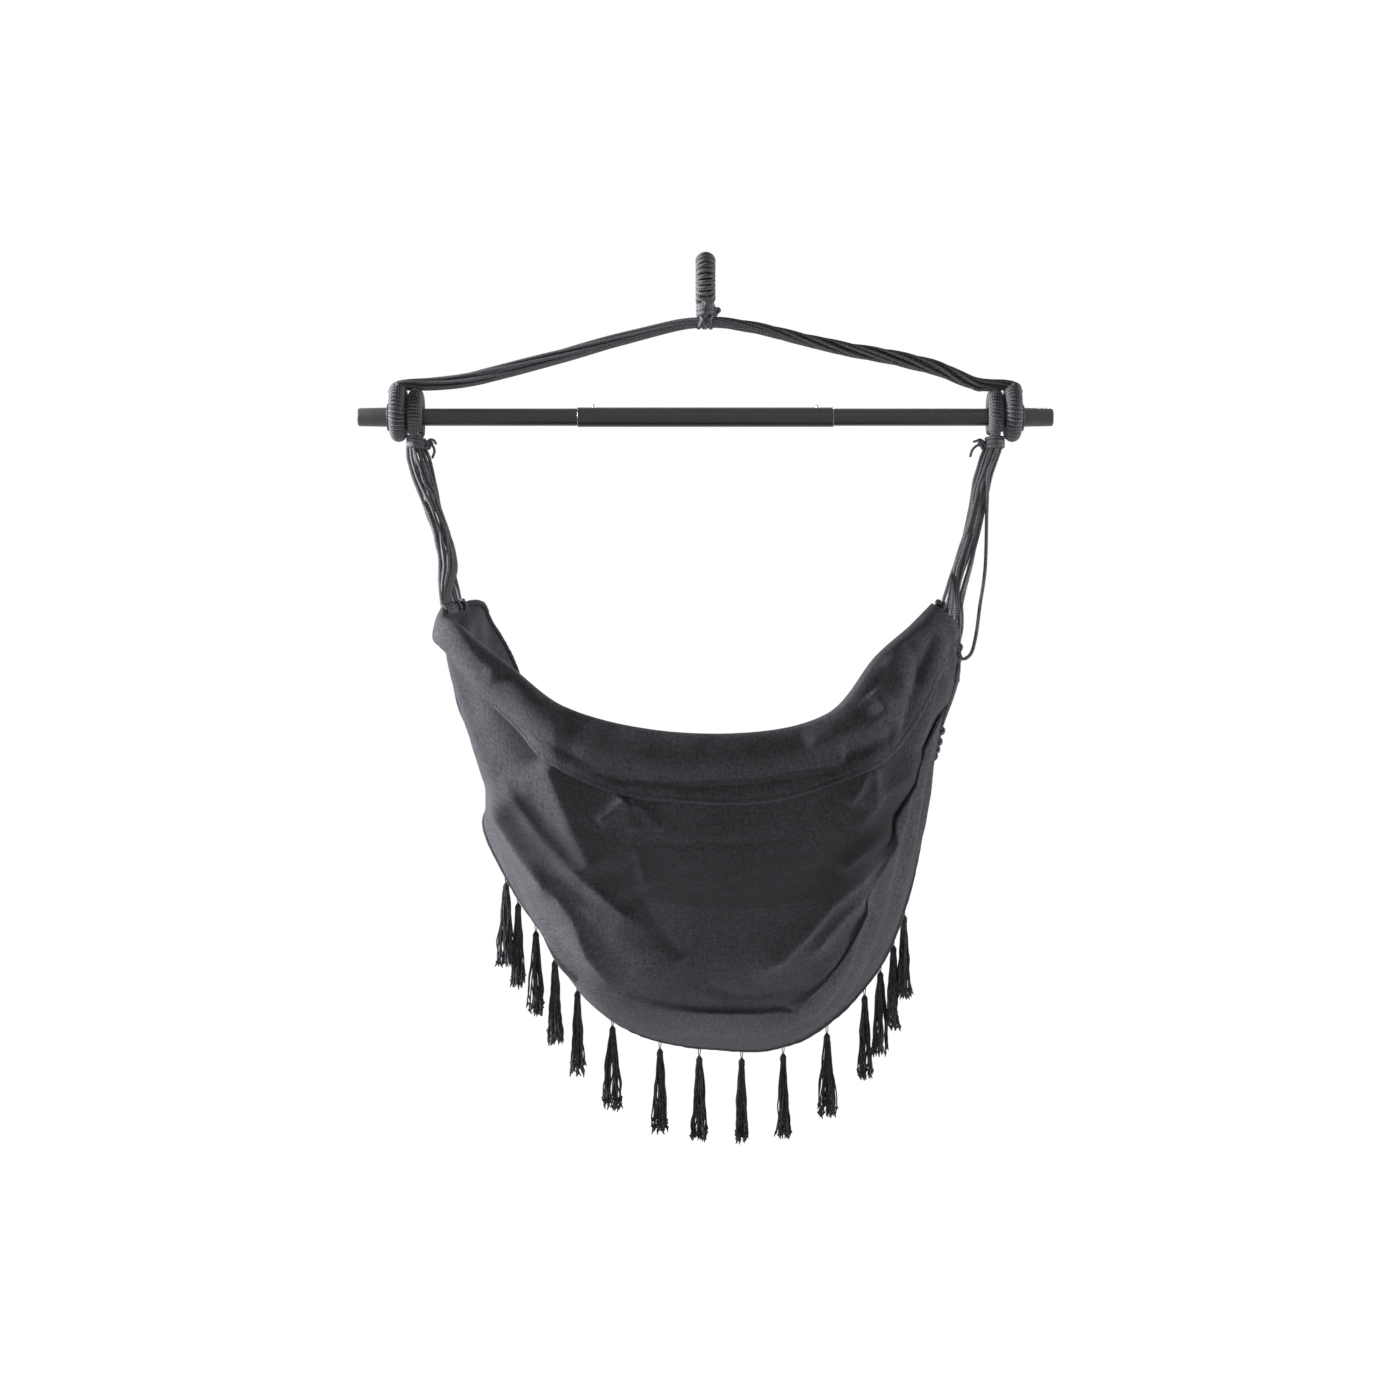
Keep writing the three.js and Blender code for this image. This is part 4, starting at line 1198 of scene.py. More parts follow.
    def _bundle(self, side: Side) -> None:
        """Doubled cords that run side by side, slightly twisted, out to an eye.

        Args:
            side: the side of the chair that it is on.
        """
        middle = smooth_path(np.array(side.pick(self.left_way, self.right_way)) * MM, 90)
        along = along_way(middle)
        across = unit(np.cross(along, Y_WAY))
        deep = np.cross(along, across)
        share = np.linspace(0, 1, len(middle))
        turns = side.pick(0.35, 1.5)
        full = np.interp(share, *self.fullness)
        skin = Skin()
        for cord in range(self.bundle_inner + self.bundle_outer):
            inner = cord < self.bundle_inner
            count = self.bundle_inner if inner else self.bundle_outer
            ring = (self.inner_ring if inner else self.outer_ring) * full
            ring = ring * (1 + 0.08 * np.sin(7 * share + cord))
            angle = 2 * math.pi * (cord / count + turns * share) + 0.3 * np.sin(5 * share + cord)
            shift = across * (np.cos(angle) * ring)[:, None]
            shift = shift + deep * (np.sin(angle) * ring)[:, None]
            skin.sweep(middle + shift, self.bundle_cord_radius, 10)
        if side is Side.LEFT:
            self._seizing(skin)
        label = side.label
        self._rope(skin, f"{label}_bundle_cords", "upper_harness", f"{label}_harness_bundle")

    def _seizing(self, skin: Skin) -> None:
        """Adds the crossed turns that bind the two bundles under the loop.

        Args:
            skin: the mesh to which they are added.
        """
        half, reach = self.seizing_half, self.seizing_reach
        neck = np.linspace((-half, 0, self.seizing_z), (half, 0, self.seizing_z), 60)
        for lean in (-0.55, 0.5):
            self.winding.wind(skin, neck, (lean, 0, 1.0), Y_WAY, 2, (reach, reach), 1.0, 0.85)

    def _eye(
        self, side: Side, kind: str, body: str, middle: np.ndarray, served: np.ndarray
    ) -> None:
        """An eye's core and the cord wound round it.

        Args:
            side: the end of the bar.
            kind: the word for the eye.
            body: the body that it rides on.
            middle: the middle of the eye.
            served: the part of it that is wound.
        """
        label = f"{side.label}_{kind}_eye"
        core = self._twisted(middle, self._outward(middle), 8, 3.1 * MM, 2.95 * MM, 10)
        self._rope(core, f"{label}_cords", body, f"{label}_core")
        reach = self.eye_core_radius + self.eye_padding
        skin = Skin()
        self.winding.wind(
            skin, served, self._outward(served), X_WAY, self.eye_turns, (reach, reach)
        )
        self._wrap(skin, f"{label}_winding", body, f"{label}_serving")

    def _harness_eye(self, side: Side) -> None:
        """The outer eye, in which a rope bundle ends.

        Args:
            side: the side of the chair that it is on.
        """
        angle = np.linspace(-0.5 * np.pi, 1.5 * np.pi, 260)
        ring = np.stack([0 * angle, np.cos(angle), np.sin(angle)], 1) * self.harness_eye_radius
        at = (side.value * self.harness_eye_x, 0, BAR_Z + self.harness_eye_z)
        middle = np.array(at) + ring
        # The bundle joins the eye at its crown, so the winding starts and ends there.
        turned = np.concatenate([middle[130:-1], middle[:130]])
        self._eye(side, "harness", "upper_harness", middle, turned[16:-16])

    def _seat_eye(self, side: Side) -> None:
        """The inner eye and the lashing that closes its throat.

        Args:
            side: the side of the chair that it is on.
        """
        x = side.value * SEAT_EYE_X
        half = [(x, deep * MM, BAR_Z + rise * MM) for deep, rise in self.seat_eye_half]
        other = [(at, -deep, rise) for at, deep, rise in reversed(half[:-1])]
        middle = smooth_path([*half, *other], 300)
        served = middle[middle[:, 2] > BAR_Z + self.throat_top + 4 * MM]
        self._eye(side, "seat", "seat", middle, served)
        low = BAR_Z + self.throat_bottom + 2.6 * MM
        high = BAR_Z + self.throat_top - 2.6 * MM
        lashing = Skin()
        self.winding.wind(
            lashing, np.linspace((x, 0, low), (x, 0, high), 60), Y_WAY,
            (1.0, 0, 0.12 * side.value), 4, (self.throat_depth / 2, self.throat_width / 2), 0.3,
        )
        label = side.label
        self._wrap(lashing, f"{label}_seat_eye_wraps", "seat", f"{label}_seat_eye_lashing")
        self._tie_tail(side, x)

    def _tie_tail(self, side: Side, x: float) -> None:
        """The knot and loose ends on the inner side of the throat.

        Args:
            side: the end of the bar.
            x: the middle of the eye.
        """
        inward = -side.value
        knot_at = np.array([x + inward * 18 * MM, -6 * MM, BAR_Z + self.throat_bottom + 7 * MM])
        skin = Skin()
        skin.sweep(self._overhand(knot_at, 1.9 * MM, 0.3), 2.1 * MM, 10)
        for end in side.pick(self.left_ends, self.right_ends):
            skin.sweep(
                smooth_path(knot_at + np.array(end) * (inward * MM, MM, MM), 20), 1.9 * MM, 10
            )
        if side is Side.RIGHT:
            seen = ((-6, -14, 37), (-14, -15, 38), (-24, -15, 37), (-33, -15, 39.5))
            skin.sweep(smooth_path(np.array(seen) * MM + (x, 0, BAR_Z), 16), 1.8 * MM, 10)
        self._rope(skin, f"{side.label}_throat_knot", "seat", f"{side.label}_tie_tail")


# The spreader bar.


def turned(
    name: str, outline: Sequence[tuple[float, float]], sides: int,
    *materials: bpy.types.Material, sharp: float | None = None,
) -> bpy.types.Object:
    """Makes a turned piece along the X axis.

    Args:
        name: its name.
        outline: (along, radius) pairs in millimetres.
        sides: how many sides it has.
        materials: its materials.
        sharp: the angle in degrees past which an edge stays sharp.

    Returns:
        The piece.
    """
    skin = Skin()
    skin.lathe([(along * MM, radius * MM) for along, radius in outline], sides)
    return tidy(skin.piece(name, *materials), sharp)


@dataclass
class SpreaderBar:
    """Three steel tubes that plug together, two snap buttons and two end caps."""

    finishes: Wardrobe
    middle_half: float = 184 * MM
    middle_radius: float = 14 * MM
    outer_radius: float = 12.5 * MM
    outer_end: float = 496.7 * MM
    wall: float = 1.2 * MM
    overlap: float = 55 * MM
    edge: float = 0.35 * MM
    button_x: float = 161 * MM
    spring_half: float = 3 * MM
    leaf_rise: float = 7.4 * MM  # from the bar's middle to the leaf that the button rests on
    sides: int = 64
    # Outlines in millimetres. Along and out from the axis of what is turned:
    hole: tuple = ((2, 0), (2, 3.3), (22, 3.3), (22, 0))
    cap: tuple = (
        (497, 0), (497, 12.8), (455.05, 12.8), (454.75, 13.1), (454.75, 19.6), (455.15, 20),
        (456.85, 20), (457.25, 19.6), (457.25, 15), (457.75, 14.1), (458.95, 13.8), (497.6, 13),
        (499, 12.4), (499.8, 11.4), (500, 10.6), (500, 0),
    )
    pin: tuple = (
        (8.34, 0), (8.34, 4.3), (8.5, 4.5), (9.6, 4.5), (9.74, 4.3), (9.74, 3.0),
        (16.9, 3.0), (17.5, 2.85), (18.0, 2.4), (18.35, 1.6), (18.5, 0.7), (18.5, 0),
    )
    # Outward from the button and up from the bar's middle, round the folded spring:
    spring: tuple = (
        (-4.5, 8.03), (4.5, 8.03), (20, 5.0), (34, 2.2), (37.4, 1.2), (38.3, 0.5), (38.6, 0),
        (38.3, -0.5), (37.4, -1.2), (34, -2.6), (20, -6.2), (4.5, -10.28), (-4.5, -10.28),
        (-4.5, -9.68), (4.4, -9.68), (20, -5.6), (33.6, -2.1), (36.6, -0.8), (37.2, 0),
        (36.6, 0.7), (33.6, 1.7), (20, 4.4), (4.4, 7.43), (-4.5, 7.43),
    )

    def build(self) -> None:
        """Makes the tubes, the caps, the buttons and their springs."""
        middle = self._tube(-self.middle_half, self.middle_half, self.middle_radius, "sleeve_tube")
        for side in Side:
            self._drill(middle, side)
        self._settle(middle, "tube_paint", "middle_tube")
        for side in Side:
            start, end = sorted(
                side.value * x for x in (self.middle_half - self.overlap, self.outer_end)
            )
            outer = self._tube(start, end, self.outer_radius, f"{side.label}_arm_tube")
            self._drill(outer, side)
            self._settle(outer, "tube_paint", f"{side.label}_outer_tube")
            self._cap(side)
            self._button(side)
            self._spring(side)

    def _settle(self, piece: bpy.types.Object, slot: str, node: str) -> None:
        """Moves a piece of the bar down to the bar's middle and settles it there.

        Args:
            piece: the piece.
            slot: handed on to settle.
            node: the CAD node that it stands for.
        """
        piece.data.transform(Matrix.Translation((0, 0, BAR_Z)))
        settle(piece, "spreader_bar", slot, node)

    def _tube(self, start: float, end: float, radius: float, name: str) -> bpy.types.Object:
        """A painted tube with a narrow bare rim at each end.

        Args:
            start: where it starts along the bar.
            end: where it ends.
            radius: its outer radius.
            name: its name.

        Returns:
            The tube, round the X axis.
        """
        inner, edge = radius - self.wall, self.edge
        body = [(start + edge, radius), (end - edge, radius)]
        bore = [(end - edge, inner), (start + edge, inner)]
        rims = (
            [body[1], (end, radius - edge), (end, inner + edge), bore[0]],
            [bore[1], (start, inner + edge), (start, radius - edge), body[0]],
        )
        skin = Skin()
        for wall, rim in zip((body, bore), rims):
            skin.lathe(wall, self.sides)
            skin.lathe(rim, self.sides, 1)
        return tidy(skin.piece(name, self.finishes.paint, self.finishes.zinc), 35)

    def _drill(self, piece: bpy.types.Object, side: Side) -> None:
        """Cuts a snap button's hole through the top of a tube."""
        cutter = turned("cutter", self.hole, 32)
        cutter.rotation_euler = (0, -math.pi / 2, 0)
        cutter.location = (side.value * self.button_x, 0, 0)
        bpy.context.view_layer.update()
        hole = piece.modifiers.new("hole", "BOOLEAN")
        hole.object = cutter
        hole.operation = "DIFFERENCE"
        hole.solver = "EXACT"
        mesh = worked(piece)
        piece.modifiers.clear()
        piece.data = mesh
        mesh.set_sharp_from_angle(angle=math.radians(35))
        bpy.data.objects.remove(cutter)

    def _cap(self, side: Side) -> None:
        """The end cap with its stop ring and moulded edge.

        Args:
            side: the side of the chair that it is on.
        """
        outline = [(side.value * along, radius) for along, radius in self.cap]
        name = f"{side.label}_moulded_cap"
        piece = turned(name, outline, self.sides, self.finishes.plastic, sharp=40)
        self._settle(piece, "cap_plastic", f"{side.label}_end_cap")

    def _button(self, side: Side) -> None:
        """The snap button with its collar and domed head.

        Args:
            side: the side of the chair that it is on.
        """
        name = f"{side.label}_button_pin"
        piece = turned(name, self.pin, 40, self.finishes.zinc, sharp=40)
        turn = Matrix.Rotation(-math.pi / 2, 4, "Y")
        piece.data.transform(Matrix.Translation((side.value * self.button_x, 0, BAR_Z)) @ turn)
        settle(piece, f"{side.label}_button", "bright_steel", f"{side.label}_snap_button")

    def _spring(self, side: Side) -> None:
        """The leaf spring folded to a V inside the tube.

        Args:
            side: the side of the chair that it is on.
        """
        at_x = side.value * self.button_x
        flat = np.array(self.spring) * MM
        count = len(flat)
        corners = np.concatenate([
            np.stack([side.value * flat[:, 0] + at_x, np.full(count, y), flat[:, 1] + BAR_Z], 1)
            for y in (-self.spring_half, self.spring_half)
        ])
        order = np.arange(count)
        onward = (order + 1) % count
        walls = np.stack([order, onward, onward + count, order + count], 1)
        skin = Skin()
        skin.add(corners, walls, corners[walls][:, :, [0, 2]])
        near = np.arange(count // 2 - 1)
        far = count - 1 - near
        leaves = np.stack([near, near + 1, far - 1, far], 1)
        both = np.concatenate([leaves, leaves + count])
        skin.add(None, both, corners[both][:, :, [0, 2]])
        piece = tidy(skin.piece(f"{side.label}_leaf_spring", self.finishes.zinc), 30)
        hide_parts(f"{side.label}_button_spring")
        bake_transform(piece)
        log.info("%s: %d faces, bends", piece.name, len(piece.data.polygons))


# Seams.


@dataclass
class Seams:
    """Rows of stitches along the canvas edges."""

    finishes: Wardrobe
    stitch_length: float = 3.2 * MM
    stitch_gap: float = 1.4 * MM
    thread_radius: float = 0.45 * MM

    def _tree(self) -> Any:
        """The node tree that lays stitches along a line."""
        tree, given = start_group("stitches", (
            ("Geometry", "Geometry", None),
            ("Pitch", "Float", self.stitch_length + self.stitch_gap),
            ("Stitch Length", "Float", self.stitch_length),
            ("Thread Radius", "Float", self.thread_radius),
            ("Thread", "Material", None),
        ))
        add = partial(add_node, tree)
        line = add("GeometryNodeMeshToCurve", {0: given["Geometry"]})
        pitch = {"Curve": line, "Length": given["Pitch"]}
        points = add("GeometryNodeCurveToPoints", pitch, mode="LENGTH")
        ball = add("GeometryNodeMeshUVSphere", {"Segments": 6, "Rings": 5, "Radius": 1.0})
        half = add("ShaderNodeMath", {0: given["Stitch Length"], 1: 0.5}, operation="MULTIPLY")
        thin = given["Thread Radius"]
        scale = add("ShaderNodeCombineXYZ", {0: thin, 1: thin, 2: half})
        laid = add(
            "GeometryNodeInstanceOnPoints",
            {"Points": points, "Instance": ball, "Rotation": points.outputs["Rotation"],
             "Scale": scale},
        )
        end_group(tree, laid, given["Thread"])
        return tree

    def sew(self, name: str, line: np.ndarray) -> bpy.types.Object:
        """Lays a row of stitches.

        Args:
            name: the row's name.
            line: (n, 3) places that the row follows.

        Returns:
            The row, as a piece of the seat.
        """
        mesh = bpy.data.meshes.new("seam_line")
        mesh.from_pydata(line.tolist(), [(n, n + 1) for n in range(len(line) - 1)], [])
        piece = grow(
            self._tree(), mesh, name, Pitch=self.stitch_length + self.stitch_gap,
            Stitch_Length=self.stitch_length, Thread_Radius=self.thread_radius,
            Thread=self.finishes.thread,
        )
        return settle(piece, "seat", "canvas")


# The canvas.


@dataclass(frozen=True)
class Fold:
    """A fold of the cloth along a line of the photograph's pixels.

    Its height is in metres. Its widths to the right and to the left of the line, and how
    round its crown is, are in pixels. It fades in and out over shares of its line.
    """

    line: Line
    height: float
    right_width: float
    left_width: float
    fade_start: float = 0.15
    fade_end: float = 0.15
    crown: float = 2.6

    def rise(self, pixels: np.ndarray) -> np.ndarray:
        """How far the fold lifts the cloth.

        Args:
            pixels: (n, 2) where the cloth's places show.

        Returns:
            The lift of each place, in metres.
        """
        points = np.array(self.line, float)
        starts = runs(points)
        best = np.full(len(pixels), np.inf)
        sides = np.zeros(len(pixels))
        shares = np.zeros(len(pixels))
        for step, run in enumerate(np.diff(points, axis=0)):
            length = np.linalg.norm(run)
            offset = pixels - points[step]
            share = np.clip(offset @ run / length**2, 0, 1)
            distance = np.linalg.norm(offset - share[:, None] * run, axis=1)
            nearer = distance < best
            cross = run[0] * offset[:, 1] - run[1] * offset[:, 0]
            best = np.where(nearer, distance, best)
            sides = np.where(nearer, cross, sides)
            shares = np.where(nearer, (starts[step] + share * length) / starts[-1], shares)
        width = np.where(sides > 0, self.right_width, self.left_width)
        fade = smooth_step(shares, 0, self.fade_start) * smooth_step(1 - shares, 0, self.fade_end)
        away = np.sqrt(best**2 + self.crown**2) - self.crown
        return self.height * np.exp(-1.1 * away / width) * fade


BACK_FOLDS = (
    Fold(((501, 772), (516, 796), (540, 829), (567, 860), (595, 887), (619, 908),
          (652, 934)), 5 * MM, 16, 7),
    Fold(((494, 780), (513, 820), (531, 851), (546, 872), (561, 896), (577, 920),
          (592, 954), (607, 978), (634, 1001)), 9 * MM, 13, 6),
    Fold(((548, 880), (572, 912), (590, 945), (606, 975), (628, 996)), -5 * MM, 7, 11),
    Fold(((542, 754), (552, 775), (561, 799), (573, 829), (586, 854), (601, 881)),
         5.5 * MM, 14, 15, crown=5),
    Fold(((634, 885), (648, 912), (664, 938), (690, 960)), -3.5 * MM, 9, 9),
    Fold(((637, 845), (641, 868), (646, 890)), 1.6 * MM, 4, 4),
    Fold(((640, 843), (690, 845), (740, 843), (800, 838)), -1.0 * MM, 5, 5),
    Fold(((920, 748), (902, 772), (878, 796), (866, 814), (848, 834)), 4 * MM, 11, 6),
    Fold(((914, 766), (890, 808), (860, 848), (832, 876)), 4.5 * MM, 11, 6),
    Fold(((889, 812), (872, 848), (851, 881), (826, 905), (805, 932), (781, 957),
          (748, 977)), 6.5 * MM, 15, 6),
    Fold(((886, 818), (872, 863), (857, 893), (842, 911), (820, 938), (800, 962)),
         5 * MM, 6, 5),
    Fold(((862, 894), (851, 926), (835, 954), (820, 975), (800, 995)), 5 * MM, 7, 6),
    Fold(((700, 985), (740, 996), (790, 992), (825, 978)), -3 * MM, 8, 8),
)

SEAM_PLEATS = (
    Fold(((624, 799), (613, 812), (598, 824)), 3.6 * MM, 5, 4, 0.02),
    Fold(((627, 800), (628, 815), (635, 834)), 3.0 * MM, 4, 4, 0.02),
    Fold(((632, 802), (646, 812), (660, 832)), 1.8 * MM, 4, 4, 0.02),
    Fold(((866, 772), (858, 790), (846, 806)), 2.5 * MM, 5, 4, 0.02),
    Fold(((872, 770), (874, 784), (870, 800)), 2 * MM, 4, 4, 0.02),
)

BAND_FOLDS = (
    Fold(((572, 768), (620, 779), (690, 784), (760, 780), (830, 768), (862, 756)),
         -7 * MM, 15, 15),
    Fold(((838, 758), (860, 750), (884, 738), (892, 724)), -5 * MM, 6, 11, crown=5),
    Fold(((800, 748), (835, 741), (866, 730), (888, 702)), 3 * MM, 9, 12, crown=5),
    Fold(((897, 745), (906, 700), (920, 660), (932, 625)), -4 * MM, 8, 8),
    Fold(((868, 692), (878, 704), (882, 720)), 1.6 * MM, 6, 6, crown=4),
    Fold(((880, 660), (896, 676), (900, 700)), 1.6 * MM, 8, 6, crown=4),
    Fold(((900, 640), (912, 660), (915, 690)), -1.8 * MM, 6, 5),
    Fold(((507, 717), (530, 734), (558, 748), (595, 769), (640, 788)),
         -3.5 * MM, 5, 9, 0.3, 0.6),
    Fold(((455, 622), (468, 640), (486, 662), (508, 684)), 2.5 * MM, 8, 8),
)

SIDE_FOLDS = (
    Fold(((957, 700), (936, 745), (908, 800), (892, 845), (878, 895), (862, 938),
          (838, 974), (812, 996)), -17 * MM, 9, 18, crown=5),
    Fold(((590, 996), (612, 1007), (635, 1013), (670, 1020), (715, 1022), (747, 1023),
          (805, 1019), (845, 1010), (872, 992)), -10 * MM, 7, 12),
    Fold(((903, 842), (893, 884), (878, 920), (860, 954), (835, 981), (805, 1001),
          (760, 1009)), 4.5 * MM, 6, 7),
    Fold(((466, 700), (478, 690), (487, 700)), -3 * MM, 3, 3),
    Fold(((474, 712), (484, 704), (490, 708)), -3 * MM, 3, 3),
    Fold(((948, 668), (940, 700), (928, 735), (912, 770)), 4 * MM, 5, 6),
)


@dataclass
class Canvas:
    """The sling: a seat sheet, an outer back panel, a folded top band and the hems."""

    finishes: Wardrobe
    studio: Studio
    seams: Seams
    stitch_inset: float = 8.2 * MM
    width: float = 0.720
    depth: float = 0.440
    height: float = 0.680
    drop: float = 0.270
    forward: float = 0.0125
    thickness: float = 1.6 * MM
    layer_step: float = 2.3 * MM
    fold_height: float = 14 * MM
    fold_count: float = 4.5
    fold_droop: float = 0.75
    fold_fade: float = 0.12
    fold_gain: float = 2.2
    hem_radius: float = 4 * MM
    hem_row: float = 17 / 18  # the share down at which the side hems end
    back_end: float = 0.66  # the share down by which the sling has turned under
    bead_radius: float = 3.5 * MM
    # The height, size and seed of each kind of small unevenness.
    wrinkles: tuple = ((1.6 * MM, 90 * MM, 3), (0.7 * MM, 34 * MM, 5), (0.25 * MM, 13 * MM, 7))
    # Shares of the width, depth and height, from left to right, row by row from the top
    # of the back under the seat to the front edge.
    shares: tuple = (
        ((-0.515, -0.17, 0.02), (-0.51, -0.205, 0.045), (-0.425, -0.26, 0.1),
         (-0.27, -0.34, 0.22), (0, -0.39, 0.275), (0.235, -0.34, 0.235),
         (0.335, -0.26, 0.115), (0.41, -0.205, 0.045), (0.455, -0.17, 0)),
        ((-0.455, -0.01, 0), (-0.505, -0.135, 0.095), (-0.43, -0.285, 0.275),
         (-0.28, -0.375, 0.37), (0, -0.42, 0.445), (0.25, -0.375, 0.405),
         (0.385, -0.275, 0.275), (0.48, -0.135, 0.135), (0.5, -0.045, 0.075)),
        ((-0.441, 0.135, 0.034), (-0.47, -0.09, 0.21), (-0.395, -0.26, 0.43),
         (-0.25, -0.365, 0.57), (0.005, -0.41, 0.655), (0.24, -0.365, 0.61),
         (0.36, -0.25, 0.45), (0.45, -0.07, 0.265), (0.5, 0.115, 0.16)),
        ((-0.386, 0.26, 0.165), (-0.435, 0, 0.32), (-0.34, -0.135, 0.62),
         (-0.205, -0.25, 0.805), (0.015, -0.305, 0.855), (0.215, -0.25, 0.82),
         (0.333, -0.125, 0.6), (0.425, 0.025, 0.36), (0.49, 0.24, 0.225)),
        ((-0.415, 0.4, 0.325), (-0.435, 0.25, 0.425), (-0.335, 0.17, 0.685),
         (-0.2, 0.135, 0.865), (0.015, 0.125, 0.92), (0.215, 0.135, 0.88),
         (0.338, 0.17, 0.735), (0.43, 0.25, 0.5), (0.48, 0.375, 0.3)),
        ((-0.445, 0.505, 0.43), (-0.465, 0.52, 0.475), (-0.35, 0.54, 0.715),
         (-0.18, 0.565, 0.93), (0.015, 0.575, 0.985), (0.21, 0.565, 0.96),
         (0.36, 0.54, 0.81), (0.44, 0.52, 0.585), (0.47, 0.505, 0.355)),
    )
    # The band's seam, and the lower and right edges of the outer panel, in pixels.
    seam_line: Line = (
        (440, 630), (458, 660), (470, 678), (489, 699), (507, 717), (525, 735), (540, 757),
        (558, 769), (583, 781), (607, 791), (625, 798), (667, 801), (725, 805), (778, 802),
        (811, 792), (848, 779), (872, 769), (887, 758), (902, 742), (920, 711), (932, 681),
        (946, 651), (960, 622),
    )
    bottom_line: Line = (
        (560, 960), (590, 985), (612, 996), (635, 1003), (670, 1011), (715, 1013),
        (747, 1015), (805, 1011), (845, 1002), (875, 985),
    )
    right_line: Line = (
        (966, 600), (958, 657), (951, 691), (943, 711), (929, 734), (917, 757), (901, 784),
        (890, 807), (875, 849), (861, 907), (846, 945), (822, 980), (800, 1000),
    )

    def middle_place(self, across: np.ndarray, down: np.ndarray) -> np.ndarray:
        """Places on the smooth sling.

        Args:
            across: shares from the left edge to the right.
            down: shares from the top of the back to the front edge, in the same shape.

        Returns:
            The places, three values for each share.
        """
        size = np.array([self.width, self.depth, -self.height])
        shift = np.array([0, self.forward, BAR_Z - self.drop])
        flat = across.ravel()
        rows = [catmull_rom(np.array(row) * size + shift, flat) for row in self.shares]
        return catmull_rom(np.array(rows), down.ravel()).reshape(*across.shape, 3)

    def outward(self, across: np.ndarray, down: np.ndarray) -> np.ndarray:
        """The direction that leaves the sling on its outer side."""
        step = 0.004
        right = self.middle_place(np.minimum(across + step, 1), down)
        left = self.middle_place(np.maximum(across - step, 0), down)
        below = self.middle_place(across, np.minimum(down + step, 1))
        above = self.middle_place(across, np.maximum(down - step, 0))
        return -unit(np.cross(right - left, below - above))

    def relief(
        self, across: np.ndarray, down: np.ndarray, places: np.ndarray, folds: Sequence[Fold]
    ) -> np.ndarray:
        """How far the folds and wrinkles lift the cloth.

        Args:
            across: (n,) shares across the sling.
            down: (n,) shares down the sling.
            places: (n, 3) places on the smooth sling.
            folds: the folds of this layer.

        Returns:
            (n,) lifts in metres.
        """
        spread = 2 * across - 1
        phase = down + self.fold_droop * spread * spread
        edge = np.minimum.reduce([down, 1 - down, 2 * across, 2 - 2 * across])
        droop = self.fold_height / 2 * np.minimum(edge / self.fold_fade, 1)
        droop = droop * np.sin(2 * np.pi * self.fold_count * phase)
        seen = 1 - smooth_step(down, 0.5, 0.62)
        lift = droop * (1 - 0.75 * seen)
        pixels = self.studio.pixels(places)
        for fold in folds:
            lift = lift + self.fold_gain * fold.rise(pixels) * seen
        for height, size, seed in self.wrinkles:
            lift = lift + height * value_noise(places, size, seed)
        return lift

    def grid(
        self, across: np.ndarray, down: np.ndarray, folds: Sequence[Fold], extra: Any = 0.0
    ) -> tuple[np.ndarray, np.ndarray]:
        """Places and outward directions over a grid of shares.

        Args:
            across: shares across the sling.
            down: shares down the sling, in the same shape.
            folds: the folds of this layer.
            extra: more lift, one value or one for each place.

        Returns:
            The places and the directions, three values for each share.
        """
        places = self.middle_place(across, down)
        normals = self.outward(across, down)
        lift = self.relief(across.ravel(), down.ravel(), places.reshape(-1, 3), folds)
        lift = lift.reshape(across.shape) + extra
        return places + normals * lift[..., None], normals

    def lengths(self, places: np.ndarray) -> np.ndarray:
        """UV places in metres, measured along the cloth from its middle column."""
        steps = np.linalg.norm(np.diff(places, axis=1), axis=2)
        across = np.concatenate([np.zeros((len(places), 1)), np.cumsum(steps, axis=1)], axis=1)
        across = across - across[:, [places.shape[1] // 2]]
        steps = np.linalg.norm(np.diff(places, axis=0), axis=2)
        down = np.concatenate([np.zeros((1, places.shape[1])), np.cumsum(steps, axis=0)])
        return np.stack([across, down], axis=2)

    def crossing(self, line: Line, by_row: bool, count: int) -> np.ndarray:
        """Where a line of the photograph crosses the back of the sling.

        Args:
            line: the line's pixels, from left to right or from top to bottom.
            by_row: true for a line that runs down and is met in each row.
            count: how many rows or columns are tested.

        Returns:
            The share at which each row or column meets the line.
        """
        points = np.array(line, float)
        fine = np.linspace(0, 1, 500)
        scan = fine[fine > 0.5] if by_row else fine[fine < self.back_end]
        along, off = (1, 0) if by_row else (0, 1)
        met = []
        for share in np.linspace(0, self.back_end if by_row else 1, count):
            shares = (scan, np.full(len(scan), share))
            pixels = self.studio.pixels(self.middle_place(*(shares if by_row else shares[::-1])))
            over = pixels[:, off] > np.interp(pixels[:, along], points[:, along], points[:, off])
            met.append(scan[np.argmax(over)] if over.any() else scan[-1])
        return np.array(met)

    def left_turn(self, count: int) -> np.ndarray:
        """The share across at which each row turns out of sight on the left."""
        scan = np.linspace(0, 0.35, 160)
        met = []
        for share in np.linspace(0, self.back_end, count):
            places = self.middle_place(scan, np.full(len(scan), share))
            met.append(scan[np.argmin(self.studio.pixels(places)[:, 0])])
        return np.array(met)

    def build(self) -> None:
        """Makes the layers, the hems and the seams."""
        self._seat_sheet()
        self._back_panel()
        self._top_band()
        self._hems()

